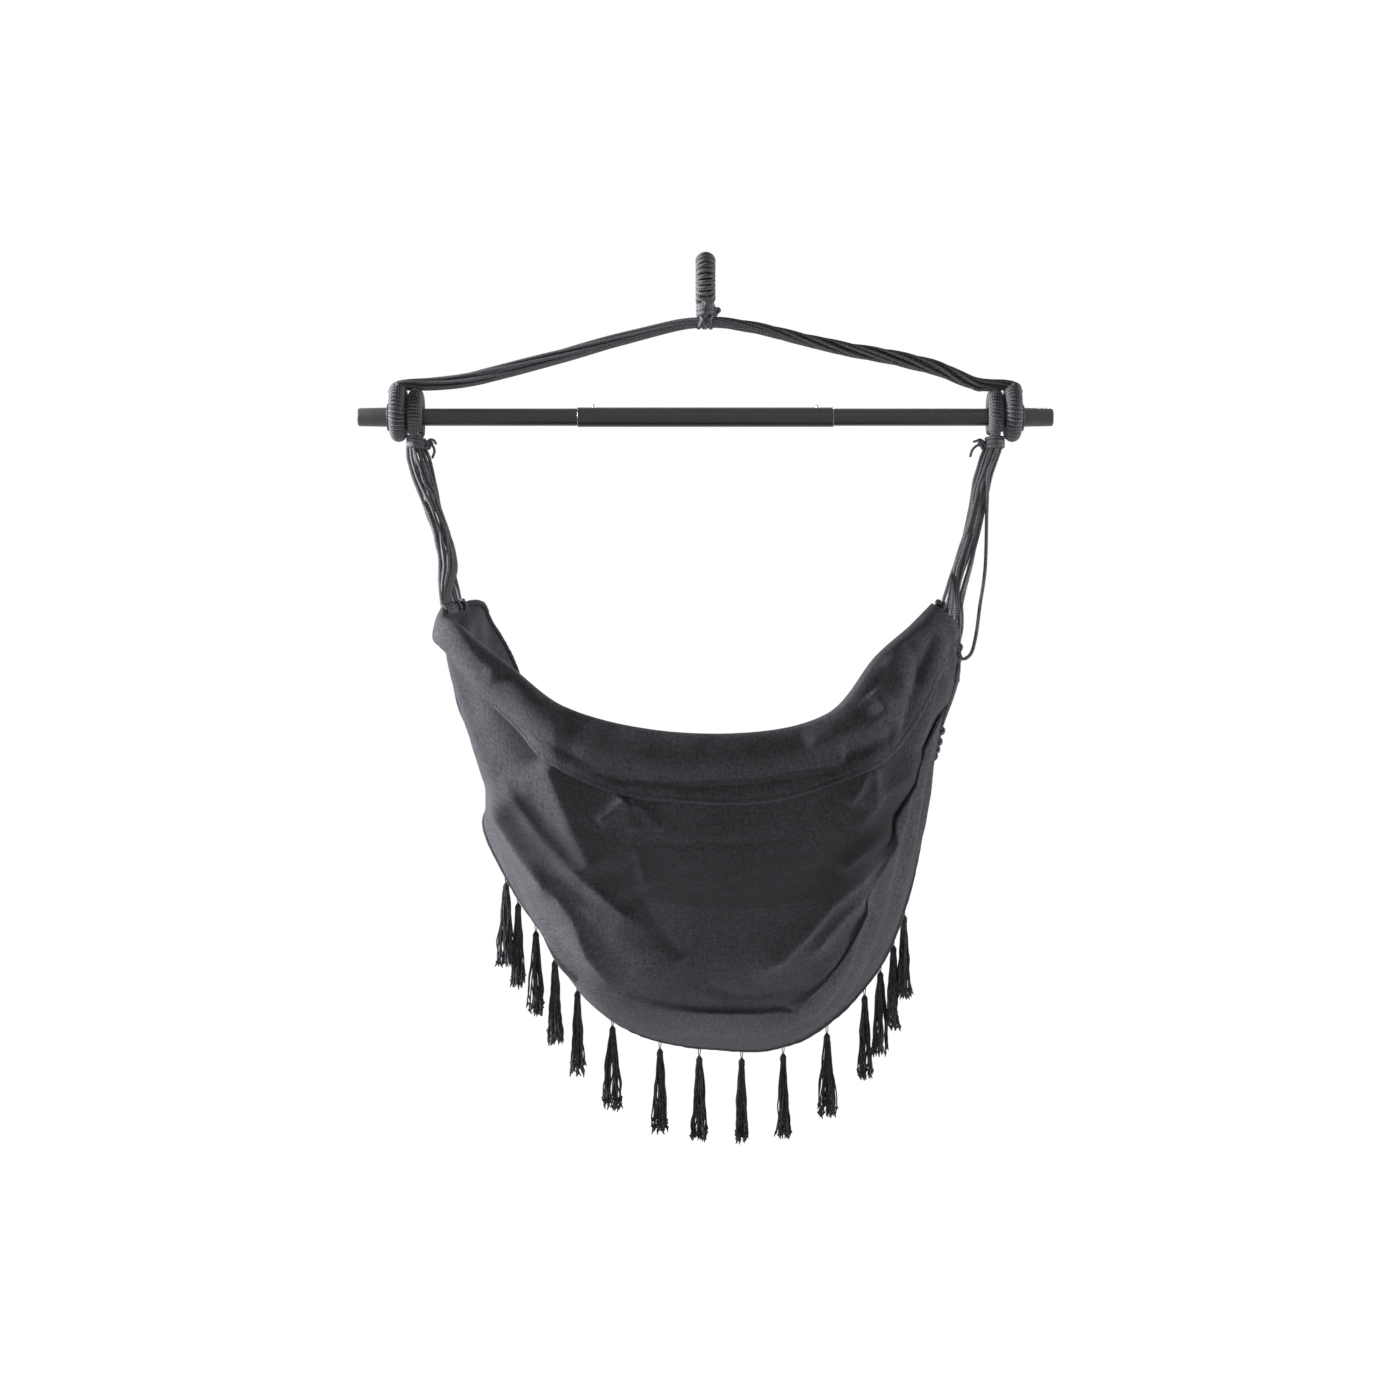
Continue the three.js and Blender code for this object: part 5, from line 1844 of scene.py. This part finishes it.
    def _seat_sheet(self) -> None:
        """The sheet that carries the sitter, from the top of the back to the front."""
        across, down = np.meshgrid(np.linspace(0, 1, 210), np.linspace(0, 1, 190))
        middle, normal = self.grid(across, down, BACK_FOLDS + SIDE_FOLDS)
        half = self.thickness / 2
        skin = Skin()
        places = self.lengths(self.middle_place(across, down))
        skin.shell(middle + normal * half, middle - normal * half, places)
        self.seat_piece = skin.piece("seat_canvas", self.finishes.canvas)
        settle(self.seat_piece, "seat", "canvas", "seat_sheet")
        self.seat_area = self._area(middle)
        self.seat_flat = tuple(
            float(np.linalg.norm(np.diff(middle, axis=axis), axis=2).sum(axis).max())
            for axis in (1, 0)
        )
        log.info("seat sheet flat %.3f x %.3f m, area %.4f", *self.seat_flat, self.seat_area)

    def _area(self, grid: np.ndarray) -> float:
        """The area of a grid of places."""
        first = np.cross(grid[1:, :-1] - grid[:-1, :-1], grid[:-1, 1:] - grid[:-1, :-1])
        second = np.cross(grid[1:, :-1] - grid[1:, 1:], grid[:-1, 1:] - grid[1:, 1:])
        return float((np.linalg.norm(first, axis=2) + np.linalg.norm(second, axis=2)).sum() / 2)

    def _bead(self, edge: np.ndarray) -> np.ndarray:
        """The share of its full height that a folded edge has, at distances from the edge."""
        return np.sqrt(np.clip(1 - (edge / self.bead_radius - 1) ** 2, 0, 1))

    def _back_panel(self) -> None:
        """The outer back panel, whose right edge and hem stand off the seat sheet."""
        rows, columns, count = 176, 264, 120
        top, lowest = 0.05, 0.62
        scale = np.linspace(0, self.back_end, count)
        left = evened(np.maximum(self.left_turn(count), 0.03), 6)
        right = evened(self.crossing(self.right_line, True, count), 8)
        bottom = evened(self.crossing(self.bottom_line, False, count), 4)
        share_across, share_down = np.meshgrid(
            np.linspace(0, 1, columns), np.linspace(0, 1, rows)
        )
        down = top + share_down * 0.5
        for _ in range(4):
            low = np.interp(down, scale, left)
            high = np.interp(down, scale, right)
            across = low + (high - low) * share_across
            reach = np.interp(across, np.linspace(0, 1, count), bottom)
            down = top + share_down * (np.minimum(reach, lowest) - top)
        flat = self.lengths(self.middle_place(across, down))
        from_right = flat[:, -1:, 0] - flat[:, :, 0]
        from_left = flat[:, :, 0] - flat[:, :1, 0]
        from_bottom = flat[-1:, :, 1] - flat[:, :, 1]
        edge = np.minimum(np.minimum(from_right, from_left), from_bottom)
        nearer = 15 * MM * np.exp(-((from_right / (24 * MM)) ** 2))
        nearer = nearer * smooth_step(share_down, 0.1, 0.3)
        nearer = np.maximum(nearer, 13 * MM * np.exp(-((from_bottom / (12 * MM)) ** 2)))
        groove = np.exp(-((edge / MM - 8.2) ** 2) / 1.5)
        lift = self.layer_step + 0.5 * MM
        middle, normal = self.grid(across, down, BACK_FOLDS + SEAM_PLEATS, lift)
        middle = middle - Y_WAY * nearer[..., None]
        half = self.thickness / 2 + 1.9 * MM * self._bead(edge) - 0.5 * MM * groove
        outer = middle + normal * half[..., None]
        skin = Skin()
        skin.shell(outer, middle - normal * self.thickness / 2, flat)
        side_line = self._inset(outer, from_right)[12:-4]
        hem_line = self._inset(outer.transpose(1, 0, 2), from_bottom.T)[6:-6]
        stitched = [
            self.seams.sew("panel_side_stitches", side_line),
            self.seams.sew("panel_hem_stitches", hem_line),
        ]
        piece = skin.piece("back_canvas", self.finishes.canvas)
        settle(piece, "seat", "canvas", "back_panel")
        self._area(middle)

    def _top_band(self) -> None:
        """The folded band along the top, from its seam over the edge to the inside."""
        columns, rows = 220, 60
        seam = evened(self.crossing(self.seam_line, False, columns), 3)
        across = np.linspace(0.012, 0.988, columns)
        seam = np.interp(across, np.linspace(0, 1, columns), seam)
        seam = np.clip(seam, 0.035, 0.24)
        share = np.linspace(0, 1, rows)[:, None]
        down = seam[None] * (1 - share)
        across_grid = np.broadcast_to(across, down.shape)
        places = self.middle_place(across_grid, down).reshape(-1, 3)
        seen = self.studio.pixels(places)[:, 0].reshape(rows, columns)
        # The belly runs all along, and the roll is fuller at the left end and past it.
        belly = 12 * MM * np.sin(np.pi * share) ** 0.6
        roll_end = 8 * smooth_step(seen, 440, 480) + 9 * smooth_step(seen, 500, 556)
        roll_end = roll_end * (1 - smooth_step(seen, 560, 568)) * MM
        rest = 11 * MM * smooth_step(seen, 560, 568) * (1 - smooth_step(seen, 568, 720))
        bulge = (roll_end + rest) * np.sin(np.pi * share) ** 0.7
        lift = 2 * self.layer_step + 1.2 * MM + belly + bulge
        outer, _ = self.grid(across_grid, down, BAND_FOLDS, lift)
        crest = 15 * MM * np.exp(-(((seen[-1:] - 456) / 21) ** 2))
        crest = crest + 4 * MM * np.exp(-(((seen[-1:] - 520) / 25) ** 2))
        outer = outer + Z_WAY * (crest * smooth_step(share, 0.45, 1.0))[..., None]
        inner_lift = -(self.layer_step + 1.0 * MM)
        inner_down = np.linspace(0, 1, 14)[:, None] * np.minimum(seam, 0.13)[None]
        inner, _ = self.grid(
            np.broadcast_to(across, inner_down.shape), inner_down, (), inner_lift
        )
        edge = outer[-1]
        upward = unit(outer[-1] - outer[-3])
        radius = np.linalg.norm(edge - inner[0], axis=1)[:, None] / 2
        centre = (edge + inner[0]) / 2
        toward = unit(edge - inner[0])
        roll = [
            centre + toward * radius * np.cos(turn) + upward * radius * np.sin(turn)
            for turn in np.linspace(0, np.pi, 12)[1:]
        ]
        surface = np.concatenate([outer, np.array(roll), inner[1:]])[::-1]
        out = -unit(np.cross(np.gradient(surface, axis=1), np.gradient(surface, axis=0)))
        flat = self.lengths(surface)
        flat[..., 0] = flat[:, :, 0].mean(0, keepdims=True)
        flat[..., 1] = flat[:, :, 1].mean(1, keepdims=True)
        half = self.thickness / 2
        away = np.abs(flat[-1:, :, 1] - flat[:, :, 1])
        over = surface + out * (half + 2.0 * MM * self._bead(away))[..., None]
        skin = Skin()
        skin.shell(over, surface - out * half, flat)
        line = self._inset(over.transpose(1, 0, 2), away.T)[4:-4]
        stitched = [self.seams.sew("band_seam_stitches", line)]
        piece = skin.piece("top_band_canvas", self.finishes.canvas)
        settle(piece, "seat", "canvas", "top_band")

    def _inset(self, surface: np.ndarray, distance: np.ndarray) -> np.ndarray:
        """The line on a cloth that runs a stitch's distance inside one edge.

        Args:
            surface: (rows, columns, 3) places, whose last column is the edge.
            distance: (rows, columns) distances from that edge, in metres.

        Returns:
            (rows, 3) places.
        """
        line = []
        for places, away in zip(surface, distance):
            order = np.argsort(away)
            line.append([
                np.interp(self.stitch_inset, away[order], places[order, axis])
                for axis in range(3)
            ])
        return np.array(line)

    def hem_line(self, side: Side | None, count: int) -> np.ndarray:
        """The middle of a hem, just off an edge of the sling.

        Args:
            side: the side edge, or None for the front edge.
            count: how many places.

        Returns:
            (count, 3) places.
        """
        if side is None:
            across, down = np.linspace(0, 1, count), np.ones(count)
            inward = (across, np.full(count, self.hem_row))
            folds: Sequence[Fold] = ()
        else:
            across = np.full(count, side.pick(0.0, 1.0))
            down = np.linspace(0, self.hem_row, count)
            inward = (np.full(count, side.pick(0.05, 0.95)), down)
            folds = BACK_FOLDS + SIDE_FOLDS
        edge, _ = self.grid(across, down, folds)
        inner, _ = self.grid(*inward, folds)
        along = along_way(edge)
        out = edge - inner
        out = unit(out - along * (out * along).sum(1)[:, None])
        return edge + out * (self.hem_radius - 1.0 * MM)

    def _hems(self) -> None:
        """The cord channels along both sides and the front edge."""
        for side in (Side.LEFT, Side.RIGHT, None):
            line = self.hem_line(side, 260)
            run = np.linspace(0, 1, len(line))
            ripple = 1 + 0.10 * value_noise(line, 9 * MM, 11) + 0.05 * np.sin(run * 420)
            skin = Skin()
            skin.sweep(line, self.hem_radius * (0.98 if side is None else 1.08) * ripple, 14)
            label = "front" if side is None else side.label
            piece = skin.piece(f"{label}_channel", self.finishes.hem)
            node = "front_hem" if side is None else f"{label}_side_hem"
            settle(piece, "seat", "hem_canvas", node)


# The fans of cord.


@dataclass
class SeatCords:
    """The doubled cords between the eyes' necks and the sides of the sling."""

    finishes: Wardrobe
    canvas: Canvas
    throat_z: float = -47 * MM
    slack_top: tuple[float, float, float] = (SEAT_EYE_X, -17.4 * MM, BAR_Z - 62 * MM)
    radius: float = 2.6 * MM
    # Where the two legs of each cord meet the hem, as shares of its length.
    left_shares: tuple = (
        (0.006, 0.013), (0.02, 0.027), (0.034, 0.041), (0.048, 0.055), (0.075, 0.1), (0.95, 0.9),
    )
    right_shares: tuple = (
        (0.02, 0.055), (0.1, 0.145), (0.2, 0.255), (0.32, 0.42), (0.76, 0.83), (0.89, 0.95),
    )
    # The middle of each fan on its way down: depth below the bar and place along it in
    # millimetres, how loosely its cords lie and how far they have twisted, in turns.
    left_axis: tuple = (
        (40, -417, 0.85, 0), (50, -415, 1.1, 0), (62, -411.5, 1.25, 0.01), (95, -404, 1.25, 0.05),
        (112, -399, 1.2, 0.09), (134, -392, 0.95, 0.12), (162, -381, 1.0, 0.13),
        (205, -371, 1.05, 0.08), (265, -358, 1.3, 0),
    )
    right_axis: tuple = (
        (40, 415, 0.85, 0), (50, 411, 0.95, 0), (75, 402, 0.92, 0), (100, 397, 0.86, 0.04),
        (155, 387, 0.9, 0.1), (200, 374, 1.0, 0.12), (270, 352, 1.2, 0.12),
    )
    # Where the legs lie in a fan in millimetres, across the view and away from the camera.
    cluster: tuple = (
        (-12.5, -3), (-7.5, -9), (-2.4, -12), (2.8, -11), (7.8, -8), (12.5, -2), (-9, 4),
        (-3.2, 0), (3.2, 1), (8.6, 5), (-3, 11), (2.6, 12),
    )
    # The slack cord's bow in pixels.
    bow: Line = ((989, 470), (987, 505), (985, 570), (980, 605), (975, 640), (970, 655), (962, 659))

    def build(self) -> None:
        """Makes both fans and the slack cord."""
        hems = {side: self.canvas.hem_line(side, 400) for side in Side}
        for side, hem in hems.items():
            for number, shares in enumerate(side.pick(self.left_shares, self.right_shares)):
                self._pair(side, number, shares, hem)
        self._slack_cord(hems[Side.RIGHT])

    def _hitch(self, hem: np.ndarray, share: float, toward: np.ndarray) -> np.ndarray:
        """A turn of cord round the hem, which starts on the side of the fan.

        Args:
            hem: the hem's places.
            share: where along it.
            toward: the place from which the cord comes.

        Returns:
            The turn's places, from the fan's side on.
        """
        place = int(round(share * (len(hem) - 1)))
        middle = hem[place]
        along = unit(hem[min(place + 2, len(hem) - 1)] - hem[max(place - 2, 0)])
        out = toward - middle
        out = unit(out - along * out.dot(along))
        beside = np.cross(along, out)
        reach = self.canvas.hem_radius * 1.1 + self.radius * 0.9
        angle = np.linspace(0.35, 2 * math.pi + 0.5, 18)[:, None]
        turn = middle + (out * np.cos(angle) + beside * np.sin(angle)) * reach
        return turn + along * np.linspace(0, 2 * self.radius, 18)[:, None]

    def _gathered(self, side: Side, leg: int, end: np.ndarray) -> np.ndarray:
        """The way of a cord from the throat down its fan to the hem.

        Args:
            side: the fan.
            leg: the cord's place in the cluster.
            end: where it meets the hem.

        Returns:
            Its places, from the throat on.
        """
        axis = np.array(side.pick(self.left_axis, self.right_axis)).T
        across, away = np.array(self.cluster[leg]) * MM
        top = np.array([
            side.value * SEAT_EYE_X + across * 0.8, away, BAR_Z + self.throat_z + 8 * MM,
        ])
        share = np.linspace(0, 1, 14)[:-1]
        line = top + (end - top) * share[:, None]
        fall = (BAR_Z - line[:, 2]) / MM
        x, loose, turns = (np.interp(fall, axis[0], column) for column in axis[1:])
        turn = -side.value * 2 * np.pi * turns
        bunch = np.stack([
            x * MM + loose * (across * np.cos(turn) - away * np.sin(turn)),
            loose * (across * np.sin(turn) + away * np.cos(turn)) - 20 * MM * share,
            line[:, 2],
        ], axis=1)
        # A few cords leave their fan early, and are seen apart from it.
        apart = leg in (8, 9) if side is Side.LEFT else leg > 9
        held = (1 - smooth_step(share, 0.7, 1.0)[:, None]) * (0.2 if apart else 1.0)
        line = bunch * held + line * (1 - held)
        slack = np.random.default_rng(50 * leg + (side.value > 0)).uniform(-1, 1, line.shape)
        line[2:-2] += slack[2:-2] * np.array([1.0, 1.5, 0]) * MM
        return line

    def _pair(self, side: Side, number: int, shares: tuple[float, float], hem: np.ndarray) -> None:
        """One doubled cord, from the hem up through the throat and back.

        Args:
            side: the fan.
            number: the cord's number in it.
            shares: where its two legs meet the hem.
            hem: the hem's places.
        """
        legs = []
        for turn, share in enumerate(shares):
            hitch = self._hitch(hem, share, np.array([side.value * 0.38, -0.02, -0.42]))
            legs.append([*self._gathered(side, 2 * number + turn, hitch[0]), *hitch])
        crown = (legs[0][0] + legs[1][0]) / 2 + Z_WAY * 7 * MM
        points = np.array([*legs[0][::-1], crown, *legs[1]])
        skin = Skin()
        skin.sweep(catmull_rom(points, np.linspace(0, 1, 4 * len(points))), self.radius, 10)
        settle(
            skin.piece(f"{side.label}_fan_cord_{number + 1}", self.finishes.cord),
            "seat", "rope", f"{side.label}_seat_cord_{number + 1}",
        )

    def _slack_cord(self, hem: np.ndarray) -> None:
        """The cord that hangs in a slack bow outside the right fan.

        Args:
            hem: the right hem's places.
        """
        end = hem[int(0.16 * (len(hem) - 1))] + X_WAY * (self.canvas.hem_radius + self.radius)
        top = np.array(self.slack_top)
        points = [top + [-4 * MM, 0, -4 * MM]]
        for step, (across, down) in enumerate(self.bow):
            away = top[1] + (end[1] - top[1]) * step / len(self.bow)
            points.append(self.canvas.studio.place(across, down, away))
        path = smooth_path([*points, end], 70)
        skin = Skin()
        skin.sweep(path, self.radius, 10)
        piece = skin.piece("slack_fan_cord", self.finishes.cord)
        settle(piece, "seat", "rope", "right_slack_cord")
        float(runs(path)[-1])


# The fringe.


@dataclass
class Fringe:
    """Tassels of knotted yarn along the front edge."""

    finishes: Wardrobe
    canvas: Canvas
    count: int = 15
    strands: int = 34
    steps: int = 18
    yarn_radius: float = 1.15 * MM
    spread: float = 9.5 * MM
    spreads: tuple = (0.75, 1.15, 0.9, 1.05, 0.8)
    sway: float = 15 * MM
    sway_scale: float = 26.0
    knot_radius: float = 4.2 * MM
    coil_height: float = 7 * MM
    coil_radius: float = 1.0 * MM
    tuft: tuple[float, float, float] = (1.9 * MM, 0.5 * MM, 7 * MM)  # two radii and a length
    neck_drop: float = 16 * MM
    string_radius: float = 0.75 * MM

    def _strands(self, add: Any, given: Any, jitter: Any) -> Any:
        """Adds the strands' middles, which open out and sway on their way down.

        Args:
            add: add_node, for the tassel's tree.
            given: the outputs of its group input.
            jitter: the node that says how far each strand stands off the middle.

        Returns:
            The node that holds them.
        """
        seed, length = given["Seed"], given["Length"]
        reach = add("ShaderNodeMath", {0: given["Neck Radius"], 1: 0.55}, operation="MULTIPLY")
        root = add("ShaderNodeVectorMath", {0: jitter, "Scale": reach}, operation="SCALE")
        roots = add("GeometryNodePoints", {"Count": given["Strands"], "Position": root})
        kept = add(
            "GeometryNodeStoreNamedAttribute",
            {"Geometry": roots, "Name": "root", "Value": jitter},
            data_type="FLOAT_VECTOR", domain="POINT",
        )
        later = add("ShaderNodeMath", {0: seed, 1: 7.0}, operation="ADD")
        limits = {"Min": 0.86, "Max": 1.0, "Seed": later}
        span = add("FunctionNodeRandomValue", limits, data_type="FLOAT").outputs[1]
        reach = add("ShaderNodeMath", {0: length, 1: span}, operation="MULTIPLY")
        down = add("ShaderNodeMath", {0: -1.0, 1: length}, operation="MULTIPLY")
        ending = add("ShaderNodeCombineXYZ", {2: down})
        line = add("GeometryNodeCurvePrimitiveLine", {"Start": (0, 0, 0), "End": ending})
        line = add("GeometryNodeResampleCurve", {"Curve": line, "Count": self.steps})
        share = add("ShaderNodeMath", {0: reach, 1: length}, operation="DIVIDE")
        scale = add("ShaderNodeCombineXYZ", {0: 1.0, 1: 1.0, 2: share})
        placed = add(
            "GeometryNodeInstanceOnPoints", {"Points": kept, "Instance": line, "Scale": scale}
        )
        real = add("GeometryNodeRealizeInstances", {0: placed})
        factor = add("GeometryNodeSplineParameter")
        away = add(
            "GeometryNodeInputNamedAttribute", {"Name": "root"}, data_type="FLOAT_VECTOR"
        )
        opened, swayed = (
            add("ShaderNodeMath", {0: factor, 1: power}, operation="POWER")
            for power in (0.75, 0.7)
        )
        push = add("ShaderNodeMath", {0: opened, 1: given["Spread"]}, operation="MULTIPLY")
        fan = add("ShaderNodeVectorMath", {0: away, "Scale": push}, operation="SCALE")
        own = add("ShaderNodeVectorMath", {0: away, "Scale": 5.3}, operation="SCALE")
        spot = add("GeometryNodeInputPosition")
        for shift in (own, add("ShaderNodeCombineXYZ", {0: seed, 1: seed})):
            spot = add("ShaderNodeVectorMath", {0: spot, 1: shift}, operation="ADD")
        sizes = {"Vector": spot, "Scale": self.sway_scale, "Detail": 1.0}
        wave = add("ShaderNodeTexNoise", sizes).outputs[1]
        wave = add("ShaderNodeVectorMath", {0: wave, 1: (0.5, 0.5, 0.5)}, operation="SUBTRACT")
        sway = add("ShaderNodeMath", {0: swayed, 1: self.sway}, operation="MULTIPLY")
        wander = add("ShaderNodeVectorMath", {0: wave, "Scale": sway}, operation="SCALE")
        flat = add("ShaderNodeVectorMath", {0: wander, 1: (1, 1, 0.15)}, operation="MULTIPLY")
        offset = add("ShaderNodeVectorMath", {0: fan, 1: flat}, operation="ADD")
        return add("GeometryNodeSetPosition", {"Geometry": real, "Offset": offset})

    def _thick(self, add: Any, curve: Any, radius: Any) -> Any:
        """Adds a six-sided skin round a curve.

        Args:
            add: add_node, for the tassel's tree.
            curve: the node that holds the curve.
            radius: the skin's radius.

        Returns:
            The node that holds the skin.
        """
        ring = add("GeometryNodeCurvePrimitiveCircle", {"Resolution": 6, "Radius": radius})
        inputs = {"Curve": curve, "Profile Curve": ring, "Fill Caps": True}
        return add("GeometryNodeCurveToMesh", inputs)

    def _tree(self) -> Any:
        """The node tree that makes one tassel from its sizes."""
        tree, given = start_group("tassel", (
            ("Strands", "Int", self.strands), ("Length", "Float", 0.12),
            ("Spread", "Float", self.spread), ("Yarn Radius", "Float", self.yarn_radius),
            ("Neck Radius", "Float", self.knot_radius), ("Seed", "Int", 0),
            ("Yarn", "Material", None),
        ))
        add = partial(add_node, tree)
        neck_radius, full = given["Neck Radius"], 6.28
        jitter, spin, lean = (
            add(
                "FunctionNodeRandomValue", {"Min": low, "Max": high, "Seed": given["Seed"]},
                data_type="FLOAT_VECTOR",
            )
            for low, high in (
                ((-1, -1, 0), (1, 1, 0)), ((0, 0, 0), (full, full, full)),
                ((-0.5, -0.5, 0), (0.5, 0.5, full)),
            )
        )
        bent = self._strands(add, given, jitter)
        parts = [self._thick(add, bent, given["Yarn Radius"])]
        # Each strand ends in a small knot with a frayed tuft under it.
        ends = {"Start Size": 0, "End Size": 1}
        tips = add("GeometryNodeCurveEndpointSelection", ends)
        wide = add("ShaderNodeMath", {0: given["Yarn Radius"], 1: 2.0}, operation="MULTIPLY")
        knot = add("GeometryNodeMeshIcoSphere", {"Radius": wide, "Subdivisions": 2})
        top, bottom, length = self.tuft
        tuft = add("GeometryNodeMeshCone", {
            "Vertices": 7, "Side Segments": 2, "Radius Top": top, "Radius Bottom": bottom,
            "Depth": length,
        })
        lowered = {"Geometry": tuft, "Translation": (0, 0, -8 * MM)}
        tuft = add("GeometryNodeTransform", lowered)
        for tip, turn, more in ((knot, spin, {"Scale": (1.0, 0.8, 1.35)}), (tuft, lean, {})):
            inputs = {"Points": bent, "Selection": tips, "Instance": tip, "Rotation": turn}
            parts.append(add("GeometryNodeInstanceOnPoints", {**inputs, **more}))
        coil = add("GeometryNodeCurveSpiral", {
            "Resolution": 14, "Rotations": 4.0, "Start Radius": neck_radius,
            "End Radius": neck_radius, "Height": self.coil_height,
        })
        crown = {"Segments": 12, "Rings": 8, "Radius": neck_radius}
        crown = add("GeometryNodeMeshUVSphere", crown)
        for shape, rise, more in (
            (self._thick(add, coil, self.coil_radius), -9 * MM, {}),
            (crown, -2 * MM, {"Scale": (0.95, 0.95, 1.2)}),
        ):
            inputs = {"Geometry": shape, "Translation": (0, 0, rise), **more}
            parts.append(add("GeometryNodeTransform", inputs))
        joined = add("GeometryNodeJoinGeometry")
        for part in parts:
            connect(tree, joined, {0: part})
        end_group(tree, joined, given["Yarn"])
        return tree

    def build(self) -> None:
        """Makes each tassel and the string that ties it to the hem."""
        tree = self._tree()
        hem = self.canvas.hem_line(None, 400)
        for number in range(1, self.count + 1):
            node = f"tassel_{number:02d}"
            low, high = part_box(node)
            top = np.array([(low[0] + high[0]) / 2, (low[1] + high[1]) / 2, high[2]])
            piece = grow(
                tree, bpy.data.meshes.new("carrier"), f"yarn_{node}",
                Strands=self.strands + (number * 5) % 4 - 1,
                Length=float(high[2] - low[2]) - self.neck_drop - 6 * MM,
                Spread=self.spread * self.spreads[number % 5],
                Seed=11 * number, Yarn=self.finishes.yarn,
            )
            piece.data.transform(Matrix.Translation(top - Z_WAY * self.neck_drop))
            self._string(piece, top, hem)
            settle(piece, "seat", "tassel_yarn", node)

    def _string(self, piece: bpy.types.Object, top: np.ndarray, hem: np.ndarray) -> None:
        """Adds the string from the hem down to the tassel's neck.

        Args:
            piece: the tassel, to which the string is joined.
            top: the tassel's highest place.
            hem: the front hem's places.
        """
        drop = self.neck_drop
        near = hem[np.argmin(np.linalg.norm(hem - top, axis=1))]
        start = near + unit(top - near) * self.canvas.hem_radius * 0.8
        skin = Skin()
        for turn in (-1, 1):
            points = [start, start * 0.4 + top * 0.6 + [turn * 1.2 * MM, 0, 0],
                      top + [turn * 1.5 * MM, 0, -0.45 * drop], top + [0, 0, -drop - 1 * MM]]
            skin.sweep(smooth_path(points, 14), self.string_radius, 6)
        string = skin.piece("string", self.finishes.yarn)
        with bpy.context.temp_override(
            active_object=piece, selected_editable_objects=[piece, string]
        ):
            bpy.ops.object.join()


def main() -> None:
    """Builds the chair piece by piece."""
    logging.basicConfig(level=logging.INFO, format="%(name)s: %(message)s")
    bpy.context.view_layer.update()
    studio = Studio()
    studio.build()
    finishes = Wardrobe.open()
    Harness(finishes).build()
    SpreaderBar(finishes).build()
    canvas = Canvas(finishes, studio, Seams(finishes))
    canvas.build()
    SeatCords(finishes, canvas).build()
    Fringe(finishes, canvas).build()


if __name__ == "__main__":
    main()
